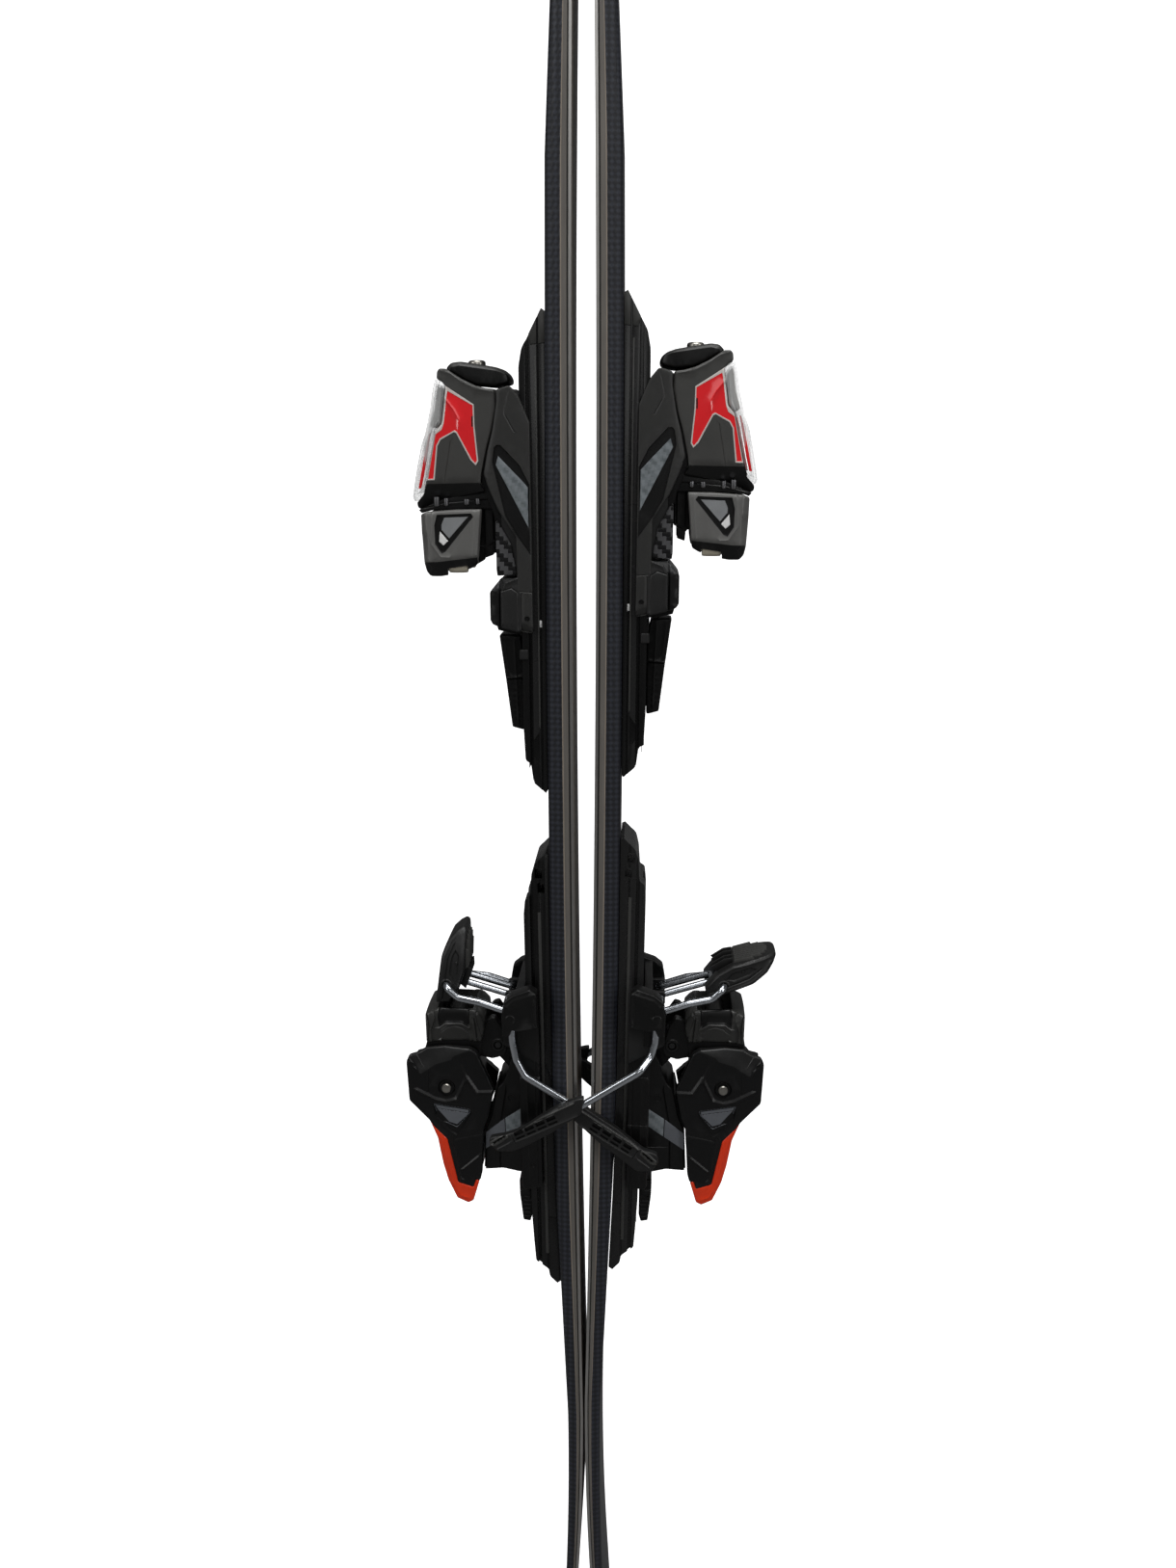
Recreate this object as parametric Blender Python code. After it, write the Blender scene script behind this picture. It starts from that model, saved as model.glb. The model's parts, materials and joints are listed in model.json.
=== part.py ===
"""A pair of alpine skis with rail-mounted bindings, standing upright base to base.

Frame: +Z runs from the tails to the tips, the left topsheet faces -X and the right one +X,
and Y runs across the skis.  The origin is the centre of the left ski's tail end face.

Each ski is designed in its own section plane, in millimetres:
    out  distance outward from the plane midway between the two bases
    y    across the ski, negative on the near side
    z    along the ski from its tail
Each binding part sits on a straight rail, so toe and heel are designed in (out, y, z)
frames that are turned to the local slope of the cambered ski.  The right ski mirrors the
left one, apart from its lift, heel position and brake.
"""

import math
from collections import namedtuple

import bmesh
import bpy
import numpy as np
from mathutils import Matrix, Vector

for old in list(bpy.data.objects):
    bpy.data.objects.remove(old, do_unlink=True)

MM = 0.001
OUTWARD, ACROSS, ALONG = (1, 0, 0), (0, 1, 0), (0, 0, 1)

# ------------------------------------------------------- shared dimensions

RIGHT_SKI_LIFT = 12.0     # the right ski stands this much higher
RIGHT_HEEL_SHIFT = -11.0  # and its heel unit sits this much lower on its rail

RAIL_HALF = 30.0
RAIL_CLEARANCE = 0.45     # between topsheet and rail
RAIL_STEPS = 8
# slope of each rail, and the (out, z) point it is turned about
TOE_SLOPE, TOE_AT = 0.0079, (27.5, 870.0)
HEEL_SLOPE, HEEL_AT = 0.0187, (24.8, 553.0)
SIDE_WALL_Y = (30.4, 36.5)  # walls beside either rail

COIL_WIRE_R = 1.5
COIL_TURNS = 4
COIL_STEPS_PER_TURN = 9
COIL_SIDES = 5

# ---------------------------------------------------------------- materials


def material(name, colour, roughness, metallic=0.0, alpha=1.0):
    mat = bpy.data.materials.new(name)
    mat.use_nodes = True
    inputs = mat.node_tree.nodes["Principled BSDF"].inputs
    inputs["Base Color"].default_value = (*colour, 1.0)
    inputs["Roughness"].default_value = roughness
    inputs["Metallic"].default_value = metallic
    inputs["Alpha"].default_value = alpha
    mat.diffuse_color = (*colour, alpha)
    return mat


CAP = material("ski_cap", colour=(0.020, 0.023, 0.032), roughness=0.55)
BASE = material("ski_base_plastic", colour=(0.20, 0.17, 0.13), roughness=0.5)
STEEL = material("ski_edge_steel", colour=(0.42, 0.42, 0.43), roughness=0.35, metallic=1.0)
BLACK = material("black_plastic", colour=(0.012, 0.012, 0.013), roughness=0.45)
CHARCOAL = material("charcoal_plastic", colour=(0.030, 0.030, 0.031), roughness=0.55)
WING = material("wing_plastic", colour=(0.055, 0.055, 0.056), roughness=0.5)
CLEAR = material("clear_lens", colour=(0.75, 0.78, 0.80), roughness=0.08, alpha=0.35)
CREAM = material("roller_plastic", colour=(0.62, 0.58, 0.48), roughness=0.5)
CHROME = material("zinc_wire", colour=(0.62, 0.64, 0.66), roughness=0.2, metallic=1.0)
ZINC = material("zinc_screw", colour=(0.55, 0.56, 0.57), roughness=0.3, metallic=1.0)
SPRING = material("spring_steel", colour=(0.30, 0.30, 0.31), roughness=0.35, metallic=1.0)
ORANGE = material("indicator_plastic", colour=(0.75, 0.16, 0.03), roughness=0.45)
LEVER = material("lever_plastic", colour=(0.018, 0.018, 0.019), roughness=0.4)

# ----------------------------------------------------------- shapes (bmesh)

BEVEL_SHARPER_THAN = math.radians(30.0)


def closed(shape):
    bmesh.ops.recalc_face_normals(shape, faces=shape.faces)
    return shape


def both_sides(inner, outer):
    """The near and far y ranges between two distances from the centre line."""
    return (-outer, -inner), (inner, outer)


def prism(outline, y_start, y_end, bevel=0.0):
    """An (out, z) outline drawn from y_start to y_end; either may be a function of (out, z)."""
    def ring(y):
        return [shape.verts.new((out, y(out, z) if callable(y) else y, z)) for out, z in outline]

    shape = bmesh.new()
    start, end = ring(y_start), ring(y_end)
    caps = [shape.faces.new(start), shape.faces.new(end)]
    for i in range(len(outline)):
        j = (i + 1) % len(outline)
        shape.faces.new((start[i], start[j], end[j], end[i]))
    closed(shape)
    if bevel:
        edges = [e for e in shape.edges if e.calc_face_angle(0.0) > BEVEL_SHARPER_THAN]
        bmesh.ops.bevel(shape, geom=edges, offset=bevel, segments=1, affect="EDGES",
                        clamp_overlap=True)
        closed(shape)
    elif callable(y_start) or callable(y_end):
        # such caps need not be flat
        bmesh.ops.triangulate(shape, faces=caps)
        closed(shape)
    return shape


def box(out_range, y_range, z_range):
    (low, high), (bottom, top) = out_range, z_range
    return prism([(low, bottom), (high, bottom), (high, top), (low, top)], *y_range)


def frame_of(axis):
    """The unit axis and two unit directions square to it."""
    axis = Vector(axis).normalized()
    helper = Vector(ACROSS) if abs(axis.y) < 0.9 else Vector(OUTWARD)
    first = axis.cross(helper).normalized()
    return axis, first, axis.cross(first).normalized()


def circle_offsets(first, second, radius, count):
    for k in range(count):
        angle = 2 * math.pi * k / count
        yield radius * (first * math.cos(angle) + second * math.sin(angle))


def turned(profile, base, axis, count):
    """A profile of (radius, height) points spun about an axis through base."""
    axis, first, second = frame_of(axis)
    shape = bmesh.new()
    rings = []
    for radius, height in profile:
        centre = Vector(base) + axis * height
        if radius == 0:
            rings.append([shape.verts.new(centre)])
        else:
            rings.append([shape.verts.new(centre + offset)
                          for offset in circle_offsets(first, second, radius, count)])
    for lower, upper in zip(rings, rings[1:]):
        for k in range(count):
            n = (k + 1) % count
            if len(lower) == 1:
                shape.faces.new((lower[0], upper[k], upper[n]))
            elif len(upper) == 1:
                shape.faces.new((lower[k], lower[n], upper[0]))
            else:
                shape.faces.new((lower[k], lower[n], upper[n], upper[k]))
    return closed(shape)


def cylinder(base, axis, radius, length, count=16):
    return turned([(0, 0), (radius, 0), (radius, length), (0, length)], base, axis, count)


def cross_rod(centre, radius, half_length, count=12):
    """A cylinder across the ski, centred on an (out, z) point."""
    out, z = centre
    return cylinder((out, -half_length, z), ACROSS, radius, 2 * half_length, count)


def lofted(sections):
    """Closed sections, each a list of points, skinned and capped."""
    shape = bmesh.new()
    rings = [[shape.verts.new(point) for point in section] for section in sections]
    count = len(rings[0])
    for lower, upper in zip(rings, rings[1:]):
        for k in range(count):
            n = (k + 1) % count
            shape.faces.new((lower[k], lower[n], upper[n], upper[k]))
    shape.faces.new(rings[0])
    shape.faces.new(rings[-1])
    return closed(shape)


def filleted(points, radius, steps=2):
    """The polyline with each corner rounded to an arc."""
    points = [Vector(point) for point in points]
    path = [points[0]]
    for before, corner, after in zip(points, points[1:], points[2:]):
        back, ahead = before - corner, after - corner
        to_back, to_ahead = back.normalized(), ahead.normalized()
        angle = to_back.angle(to_ahead)
        if angle > math.radians(172):  # nearly straight
            path.append(corner)
            continue
        # a short leg shrinks the arc
        reach = min(radius / math.tan(angle / 2), 0.45 * back.length, 0.45 * ahead.length)
        arc_radius = reach * math.tan(angle / 2)
        centre = corner + (to_back + to_ahead).normalized() * (arc_radius / math.sin(angle / 2))
        start = corner + to_back * reach - centre
        end = corner + to_ahead * reach - centre
        turn = start.angle(end)
        for k in range(steps + 1):
            t = k / steps
            blend = start * math.sin((1 - t) * turn) + end * math.sin(t * turn)
            path.append(centre + blend / math.sin(turn))
    path.append(points[-1])
    return path


def swept(path, radius, count=6):
    """A round wire along a path, with flat ends."""
    first = frame_of(path[1] - path[0])[1]
    sections = []
    for i, point in enumerate(path):
        before = path[max(i - 1, 0)]
        after = path[min(i + 1, len(path) - 1)]
        along = (after - before).normalized()
        # carry the last direction on, so the wire does not twist
        first = (first - along * first.dot(along)).normalized()
        second = along.cross(first)
        sections.append([point + offset
                         for offset in circle_offsets(first, second, radius, count)])
    return lofted(sections)


def coil(axis_out, z_start, z_end, mean_radius):
    """A compression spring along z, its end turns flattened."""
    path = []
    steps = COIL_TURNS * COIL_STEPS_PER_TURN
    rise = z_end - z_start - 2 * COIL_WIRE_R
    for k in range(steps + 1):
        t = k / steps
        angle = 2 * math.pi * COIL_TURNS * t
        # most of the rise is kept clear of the first and last 0.6 turn
        lead = min(max((t * COIL_TURNS - 0.6) / (COIL_TURNS - 1.2), 0.0), 1.0)
        path.append(Vector((axis_out + mean_radius * math.cos(angle),
                            mean_radius * math.sin(angle),
                            z_start + COIL_WIRE_R + rise * (0.12 * t + 0.88 * lead))))
    return swept(path, COIL_WIRE_R, COIL_SIDES)


# ---------------------------------------------------------- object building


def mesh_object(name, shape, frame, origin=None):
    """The shape is in millimetres in a design frame; frame takes it to the world's axes."""
    shape.transform(frame)
    if frame.determinant() < 0:
        bmesh.ops.reverse_faces(shape, faces=shape.faces)
    place = Vector((0, 0, 0)) if origin is None else frame @ Vector(origin)
    shape.transform(Matrix.Scale(MM, 4) @ Matrix.Translation(-place))
    mesh = bpy.data.meshes.new(name)
    shape.to_mesh(mesh)
    shape.free()
    obj = bpy.data.objects.new(name, mesh)
    obj.location = place * MM
    bpy.context.scene.collection.objects.link(obj)
    return obj


def piece(name, shape, frame, mat, origin=None, smooth=None):
    """smooth is the angle in degrees above which edges stay sharp."""
    obj = mesh_object(name, shape, frame, origin)
    obj.data.materials.append(mat)
    if smooth is not None:
        obj.data.shade_smooth()
        obj.data.set_sharp_from_angle(angle=math.radians(smooth))
    return obj


def combine(obj, operation, frame, shapes):
    for shape in shapes:
        tool = mesh_object(obj.name + "_tool", shape, frame)
        tool.hide_render = True
        tool.display_type = "WIRE"
        mod = obj.modifiers.new(operation.lower(), "BOOLEAN")
        mod.operation = operation
        mod.solver = "EXACT"
        mod.object = tool


def join(obj, frame, *shapes):
    combine(obj, "UNION", frame, shapes)


def cut(obj, frame, *shapes):
    combine(obj, "DIFFERENCE", frame, shapes)


# ------------------------------------------------------------------ the ski

SKI_LENGTH = 1600.0
TIP_WIDTH, WAIST_WIDTH, TAIL_WIDTH = 124.0, 74.0, 106.0
TIP_WIDE_AT, WAIST_AT, TAIL_WIDE_AT = 1480.0, 720.0, 40.0
SHOVEL_REACH = 122.0       # from the widest point to where its ellipse would close
TAIL_CLIP = 9.0            # half width lost at the tail end
CAMBER = 8.5               # half the gap between the bases at its widest
CAMBER_AT, CAMBER_REACH = 950.0, 760.0
TAIL_KICK_FROM, TAIL_KICK, TAIL_KICK_BASE = 215.0, 10.0, 0.6
TIP_RISE_FROM, TIP_RISE, TIP_RISE_BASE = 1400.0, 54.5, 5.5
BASE_THICK = 1.3
EDGE_WIDE, EDGE_TALL = 2.3, 2.2
GAP = 0.3                  # between core, base and edges

# z, thickness
THICKNESS = ((0, 8.0), (220, 12.0), (316, 14.8), (386, 17.0), (470, 18.2), (550, 18.5),
             (1000, 18.5), (1137, 18.3), (1300, 12.5), (1450, 8.0), (1600, 5.0))
# z of the lofted sections
STATIONS = (0, 8, 22, 50, 130, 215, 316, 386, 470, 550, 640, 730, 820, 910, 1000, 1137,
            1220, 1300, 1380, 1430, 1480, 1510, 1540, 1565, 1585, 1600)
# base and edges stop short of both ends
SHOD_STATIONS = (3.0, *(z for z in STATIONS if 8 <= z <= 1565))


def camber(z):
    """Height of the running base above the mid plane."""
    if z < TAIL_KICK_FROM:
        return TAIL_KICK_BASE + TAIL_KICK * ((TAIL_KICK_FROM - z) / TAIL_KICK_FROM) ** 2
    if z > TIP_RISE_FROM:
        along = (z - TIP_RISE_FROM) / (SKI_LENGTH - TIP_RISE_FROM)
        return TIP_RISE_BASE + TIP_RISE * along ** 2.2
    return CAMBER * (1 - ((z - CAMBER_AT) / CAMBER_REACH) ** 2)


def thickness(z):
    return float(np.interp(z, *zip(*THICKNESS)))


def ski_top(z):
    return camber(z) + thickness(z)


def half_width(z):
    """Sidecut, with a rounded shovel and a clipped tail."""
    if z > TIP_WIDE_AT:
        return TIP_WIDTH / 2 * math.sqrt(1 - ((z - TIP_WIDE_AT) / SHOVEL_REACH) ** 2)
    if z <= TAIL_WIDE_AT:
        return TAIL_WIDTH / 2 - TAIL_CLIP * ((TAIL_WIDE_AT - z) / TAIL_WIDE_AT) ** 2.5
    wide, wide_at = (TIP_WIDTH, TIP_WIDE_AT) if z > WAIST_AT else (TAIL_WIDTH, TAIL_WIDE_AT)
    flare = ((z - WAIST_AT) / (wide_at - WAIST_AT)) ** 2
    return (WAIST_WIDTH + (wide - WAIST_WIDTH) * flare) / 2


def core_section(z):
    """Steps in over the base and edges, then up the sidewall to the chamfered cap."""
    bottom, thick, half = camber(z), thickness(z), half_width(z)
    inner = half - EDGE_WIDE - GAP
    flank = [(bottom + BASE_THICK + GAP, inner),
             (bottom + EDGE_TALL + GAP, inner),
             (bottom + EDGE_TALL + GAP, half),
             (bottom + max(0.42 * thick, 3.4), half),
             (bottom + 0.86 * thick, half - 1.4),
             (bottom + thick, half - min(5.0, 0.3 * half))]
    return [(out, y, z) for out, y in flank] + [(out, -y, z) for out, y in reversed(flank)]


def base_section(z):
    bottom, half = camber(z), half_width(z) - EDGE_WIDE - GAP
    top = bottom + BASE_THICK
    return [(bottom, -half, z), (top, -half, z), (top, half, z), (bottom, half, z)]


def edge_section(z, sign):
    bottom, outer = camber(z), half_width(z)
    top, inner = bottom + EDGE_TALL, outer - EDGE_WIDE
    return [(bottom, sign * outer, z), (top, sign * outer, z),
            (top, sign * inner, z), (bottom, sign * inner, z)]


def ski(side, frame):
    piece(side + "_ski_core", lofted([core_section(z) for z in STATIONS]), frame, CAP, smooth=25)
    piece(side + "_ski_base", lofted([base_section(z) for z in SHOD_STATIONS]), frame, BASE)
    for sign, where in ((-1, "near"), (1, "far")):
        sections = [edge_section(z, sign) for z in SHOD_STATIONS]
        piece(f"{side}_edge_{where}", lofted(sections), frame, STEEL)


def rail(name, top, z_start, z_end, slope, pivot, frame):
    """A rail whose underside follows the cambered topsheet."""
    under = []
    for k in range(RAIL_STEPS + 1):
        z = z_start + (z_end - z_start) * k / RAIL_STEPS
        under.append((ski_top(z) + RAIL_CLEARANCE - slope * (z - pivot[1]), z))
    return piece(name, prism(under + top, -RAIL_HALF, RAIL_HALF), frame, BLACK)


# ------------------------------------------------------------- the toe unit

TOE_RAIL_TOP = 44.6
SCREW_OUT = 76.0            # toe screw, spring and indicator nut
SCREW_R = 3.0
WING_PIVOT = (33.0, 899.0)  # |y|, z
ROLLER_AXIS = (26.5, 864.5)  # |y|, z
ROLLER_R = 5.0

# outlines, (out, z)
TOE_RAIL = [(28.5, 1040), (42.5, 1013), (TOE_RAIL_TOP, 1001), (TOE_RAIL_TOP, 748),
            (43.5, 725), (40, 723), (38.2, 709), (29.2, 701)]
TOE_BASE = [(45, 845), (46.9, 845), (46.9, 857.6), (57.5, 859), (58, 905), (58, 984),
            (52, 988), (45, 980)]
# side wall of the toe base, up to the housing seam
TOE_ARM = [(36.5, 817), (47, 817), (47, 853), (47.5, 885), (59, 902), (65, 915.5),
           (70, 928), (67, 944), (63, 958), (60, 976), (60, 986), (50.5, 989),
           (44.5, 981), (37, 963)]
TOE_HOUSING = [(62, 1003), (61, 988), (61, 976), (64.5, 958), (68.5, 944), (71.5, 928),
               (67.5, 916), (100, 909), (115, 902.5), (119.5, 909), (117.5, 916),
               (108.5, 957), (102, 993), (100, 1000), (90, 1004.5), (77, 1004.5)]
TOE_LENS = [(98.6, 989.6), (102.3, 990.2), (108.7, 957), (117.4, 918.2), (114.2, 917.6),
            (105.2, 956.5)]
TOE_LENS_SEAT = [(98.1, 990.2), (104.5, 991.2), (111, 957), (120, 917.6), (113.6, 917.0),
                 (104.6, 956.3)]
TOE_WING = [(115, 900.5), (110, 902.2), (71.5, 904), (73.5, 870), (73.5, 864.5),
            (81, 861.5), (94.5, 862), (95.5, 858), (107, 857.4), (111.5, 862), (113, 879)]
REST_PAD = [(47.3, 818.5), (59.5, 821), (65.5, 823.5), (67, 826), (67, 846), (65.5, 848),
            (59, 856.3), (47.3, 856)]
TOE_TONGUE = [(45, 745), (54, 747), (58, 781), (62.5, 814.5), (47.4, 813.6), (45, 800)]

# turned profiles: radius, height along the axis
TOE_SCREW = [(0, 1007), (5.4, 1007), (6.2, 1006), (6.2, 999), (SCREW_R, 999),
             (SCREW_R, 924), (0, 924)]
ROLLER = [(0, 79.9), (1.5, 79.9), (1.5, 82.3), (4.3, 82.3), (ROLLER_R, 83.2),
          (ROLLER_R, 94.8), (4.3, 95.7), (1.5, 95.7), (1.5, 98.1), (0, 98.1)]


def toe_rail(side, frame):
    rail(side + "_toe_rail", TOE_RAIL, 703, 1038, TOE_SLOPE, TOE_AT, frame)


def toe_base(side, frame):
    base = piece(side + "_toe_base", prism(TOE_BASE, -31, 31), frame, CHARCOAL)
    arms = [prism(TOE_ARM, *ys) for ys in both_sides(*SIDE_WALL_Y)]
    centre_block = box((44.95, 61), (-20, 20), (860, 897))
    floor = box((44.95, 46.9), (-31, 31), (817.4, 848))
    join(base, frame, *arms, centre_block, floor)


def housing_half(out, z):
    """The housing narrows outward."""
    return 34.0 - 0.2 * max(0.0, out - 72.0)


def toe_housing(side, frame):
    shell = prism(TOE_HOUSING, lambda out, z: -housing_half(out, z), housing_half, bevel=1.6)
    housing = piece(side + "_toe_housing", shell, frame, CHARCOAL)
    spring_bay = box((50, 96), (-21, 21), (920, 984))
    pointer_window = box((90, 130), (-6, 6), (953, 977))
    lens_seat = prism(TOE_LENS_SEAT, -20.4, 20.4)
    screw_hole = cylinder((SCREW_OUT, 0, 975), ALONG, 3.5, 45)
    head_recess = cylinder((SCREW_OUT, 0, 998.4), ALONG, 6.8, 20)
    cut(housing, frame, spring_bay, pointer_window, lens_seat, screw_hole, head_recess)


def toe_lens(side, frame):
    piece(side + "_toe_lens", prism(TOE_LENS, -20, 20), frame, CLEAR)


def toe_screw(side, frame):
    piece(side + "_toe_screw", turned(TOE_SCREW, (SCREW_OUT, 0, 0), ALONG, 14), frame, ZINC,
          (SCREW_OUT, 0, 999), smooth=40)


def toe_indicator(side, frame):
    """A square nut with a pointer reaching out to the lens."""
    half = 9.5
    block = box((SCREW_OUT - half, SCREW_OUT + half), (-half, half), (962, 968))
    nut = piece(side + "_toe_indicator", block, frame, ORANGE, (SCREW_OUT, 0, 965))
    join(nut, frame, box((SCREW_OUT + 8, 101.2), (-4.5, 4.5), (963, 967)))
    cut(nut, frame, cylinder((SCREW_OUT, 0, 950), ALONG, 3.4, 30))


def toe_spring(side, frame):
    piece(side + "_toe_spring", coil(SCREW_OUT, 921, 955.4, 7.6), frame, SPRING, smooth=60)


def toe_wings(side, frame):
    """Two wings, each with a roller in a slot at its lower end."""
    roller_y, roller_z = ROLLER_AXIS
    for (sign, where), slot_y in zip(((-1, "near"), (1, "far")), both_sides(12.0, 33.0)):
        def outer(out, z):
            return sign * (38.0 - 3.0 * max(0.0, (880 - z) / 23) ** 2)

        def inner(out, z):
            return sign * (22.0 + 5.0 * (903 - z) / 46)

        wing = piece(f"{side}_toe_wing_{where}", prism(TOE_WING, outer, inner, bevel=1.0),
                     frame, WING, (90, sign * WING_PIVOT[0], WING_PIVOT[1]))
        slot = box((81.5, 96.5), slot_y, (845, 871))
        pin_hole = cylinder((79.3, sign * roller_y, roller_z), OUTWARD, 1.9, 19.4, 8)
        cut(wing, frame, slot, pin_hole)
        roller = turned(ROLLER, (0, sign * roller_y, roller_z), OUTWARD, 12)
        piece(f"{side}_toe_roller_{where}", roller, frame, CREAM,
              (89, sign * roller_y, roller_z), smooth=40)


def rest_pad(side, frame):
    piece(side + "_rest_pad", prism(REST_PAD, -34, 34), frame, BLACK)


def toe_lock_tongue(side, frame):
    piece(side + "_toe_lock_tongue", prism(TOE_TONGUE, -14, 14), frame, BLACK, (50, 0, 811))


# ------------------------------------------------------------ the heel unit

HEEL_RAIL_TOP = 43.6
HEEL_SPRING_OUT = 62
# pivots, (out, z)
HEAD_PIVOT = (66.0, 508.0)
HEAD_PIN_R, HEAD_HOLE_R = 3.0, 3.4
LEVER_PIN = (104.6, 477.8)
LEVER_PIN_R, LEVER_HOLE_R = 2.5, 2.9

# outlines, (out, z)
HEEL_RAIL = [(26.7, 656), (35.1, 648), (37.4, 640.5), (38.8, 624), (42.4, 622),
             (HEEL_RAIL_TOP, 611), (HEEL_RAIL_TOP, 576), (43.3, 377), (42.1, 354.6),
             (41, 338), (31.8, 331), (31, 325), (25.3, 319)]
HEEL_SKIRT = [(34, 400), (47.5, 398.2), (49.5, 400), (49.5, 511.3), (34, 511.3)]
HEEL_TOWER = [(46.5, 409.2), (52.7, 409.7), (63.8, 412), (78.3, 410.5), (76.3, 444),
              (72.3, 454), (67.8, 475), (63, 480), (59, 489), (57.5, 496), (50.8, 508),
              (46.5, 508)]
HEEL_LUG = [(47.3, 484), (56, 484), (72, 502.5), (73, 508), (72, 513), (66, 515.6),
            (59, 512.4), (52, 510.6), (47.3, 510.6)]
CUP_BODY = [(76.5, 513.5), (79.5, 497), (79.5, 476), (83, 455), (90, 441), (100, 437),
            (110, 444), (119, 465), (124, 490), (121.5, 505), (118.8, 513.5)]
CUP_TOP = [(77.3, 512.2), (119.2, 512.2), (119.3, 534.5), (115.5, 536.5), (107.5, 538.3),
           (89, 537), (81.5, 536.5), (75.3, 530), (74.5, 522)]
CUP_FORK = [(81, 500), (70, 497.5), (61, 500), (59, 505), (62.7, 522), (68, 530),
            (72, 529), (80, 520)]
LEVER_CHEEK = [(132, 502.5), (125, 504.5), (119, 508.3), (105, 509.4), (86, 508),
               (81.4, 505), (78, 497), (69.4, 476), (73.8, 454.5), (77.8, 444.7),
               (80.2, 409.3), (84.9, 392.5), (89.9, 384.5), (98.2, 387.5), (104.3, 399.5),
               (108.4, 417.3), (112.3, 438), (118.3, 451.7), (133.5, 467.4), (134.6, 497.5)]
LEVER_BRIDGE = [(80.6, 412), (85.3, 393), (90, 385), (98, 388), (103.9, 399.7),
                (108, 417.5), (110.3, 429), (96, 429), (80.4, 424)]
HEEL_TONGUE = [(44.1, 367), (46, 361.5), (51.5, 362.5), (53.8, 384), (53.9, 395.6),
               (44.1, 395.6)]

# turned profile: radius, y
LEVER_PIN_PROFILE = [(0, -34.2), (3.4, -34.2), (4.2, -33.4), (4.2, -32.4),
                     (LEVER_PIN_R, -32.4), (LEVER_PIN_R, 32.4), (4.2, 32.4), (4.2, 33.4),
                     (3.4, 34.2), (0, 34.2)]


def heel_rail(side, frame):
    """The rail has two cross slots near its upper end."""
    body = rail(side + "_heel_rail", HEEL_RAIL, 321, 655, HEEL_SLOPE, HEEL_AT, frame)
    cut(body, frame,
        box((29.5, 34.8), (-40, 40), (637.5, 645)),
        box((28.0, 33.0), (-40, 40), (626.5, 634)))


def tower_half(out, z):
    """The tower narrows outward."""
    return 30 - 0.1 * (out - 44)


def heel_carriage(side, frame):
    floor = box((44.1, 50), (-31, 31), (397.2, 512))
    carriage = piece(side + "_heel_carriage", floor, frame, CHARCOAL)
    skirts = [prism(HEEL_SKIRT, *ys) for ys in both_sides(*SIDE_WALL_Y)]
    tower = prism(HEEL_TOWER, lambda out, z: -tower_half(out, z), tower_half)
    lug = prism(HEEL_LUG, -13.5, 13.5)
    head_pin = cross_rod(HEAD_PIVOT, HEAD_PIN_R, 24.4)
    join(carriage, frame, *skirts, tower, lug, head_pin)
    cut(carriage, frame, cylinder((HEEL_SPRING_OUT, 0, 392), ALONG, 9.7, 60))


def heel_cup(side, frame):
    cup = piece(side + "_heel_cup", prism(CUP_BODY, -24, 24, bevel=1.2), frame, CHARCOAL,
                (HEAD_PIVOT[0], 0, HEAD_PIVOT[1]))
    forks = [prism(CUP_FORK, *ys) for ys in both_sides(15.0, 23.6)]
    join(cup, frame, prism(CUP_TOP, -29, 29, bevel=1.4), *forks)
    top_recess = box((84, 110), (-23, 23), (520, 550))
    head_hole = cross_rod(HEAD_PIVOT, HEAD_HOLE_R, 40)
    lever_hole = cross_rod(LEVER_PIN, LEVER_HOLE_R, 40)
    cut(cup, frame, top_recess, head_hole, lever_hole)


def heel_lever(side, frame):
    lever = piece(side + "_heel_lever", prism(LEVER_BRIDGE, -25.5, 25.5), frame, LEVER,
                  (LEVER_PIN[0], 0, LEVER_PIN[1]))
    join(lever, frame, *(prism(LEVER_CHEEK, *ys, bevel=1.2) for ys in both_sides(24.6, 32.0)))
    cut(lever, frame, cross_rod(LEVER_PIN, LEVER_HOLE_R, 40))


def lever_pin(side, frame):
    centre = (LEVER_PIN[0], 0, LEVER_PIN[1])
    piece(side + "_lever_pin", turned(LEVER_PIN_PROFILE, centre, ACROSS, 12), frame, ZINC,
          centre, smooth=40)


def heel_spring(side, frame):
    spring = coil(HEEL_SPRING_OUT, 414.5, 449.5, 7.3)
    piece(side + "_heel_spring", spring, frame, SPRING, smooth=60)


def heel_lock_tongue(side, frame):
    piece(side + "_heel_lock_tongue", prism(HEEL_TONGUE, -12, 12), frame, BLACK, (49, 0, 391))


# ---------------------------------------------------------------- the brake

# (out, z)
BRAKE_PIVOT = (54.0, 537.0)
PEDAL_PIVOT = (103.0, 556.0)
BAIL_PIVOT, BAIL_END = (56.0, 543.0), (95.0, 555.5)
BRAKE_WIRE_R, BRAKE_BEND_R = 2.75, 4.0
BAIL_WIRE_R, BAIL_BEND_R = 2.5, 3.4
BRAKE_HOUSING_HALF = 51.5
CRANK_Y = 46.0      # wire inside the housing
PEDAL_LEAN = 15.0   # degrees between the plate and the ski as drawn below

# outlines, (out, z)
BRAKE_CHEEK = [(33.8, 500), (60.2, 515), (60.5, 539), (58.3, 551), (52.5, 555.5),
               (39.2, 560), (34.3, 556.5)]
BRAKE_SLOT = [(46, 488), (72, 488), (72, 541.6), (50.2, 541.6), (46, 535)]
BRAKE_OPEN = [(20, 480), (72, 480), (72, 524.8), (54.8, 524.6), (52.9, 529.3),
              (49.3, 528.4), (20, 533.3)]
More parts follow.
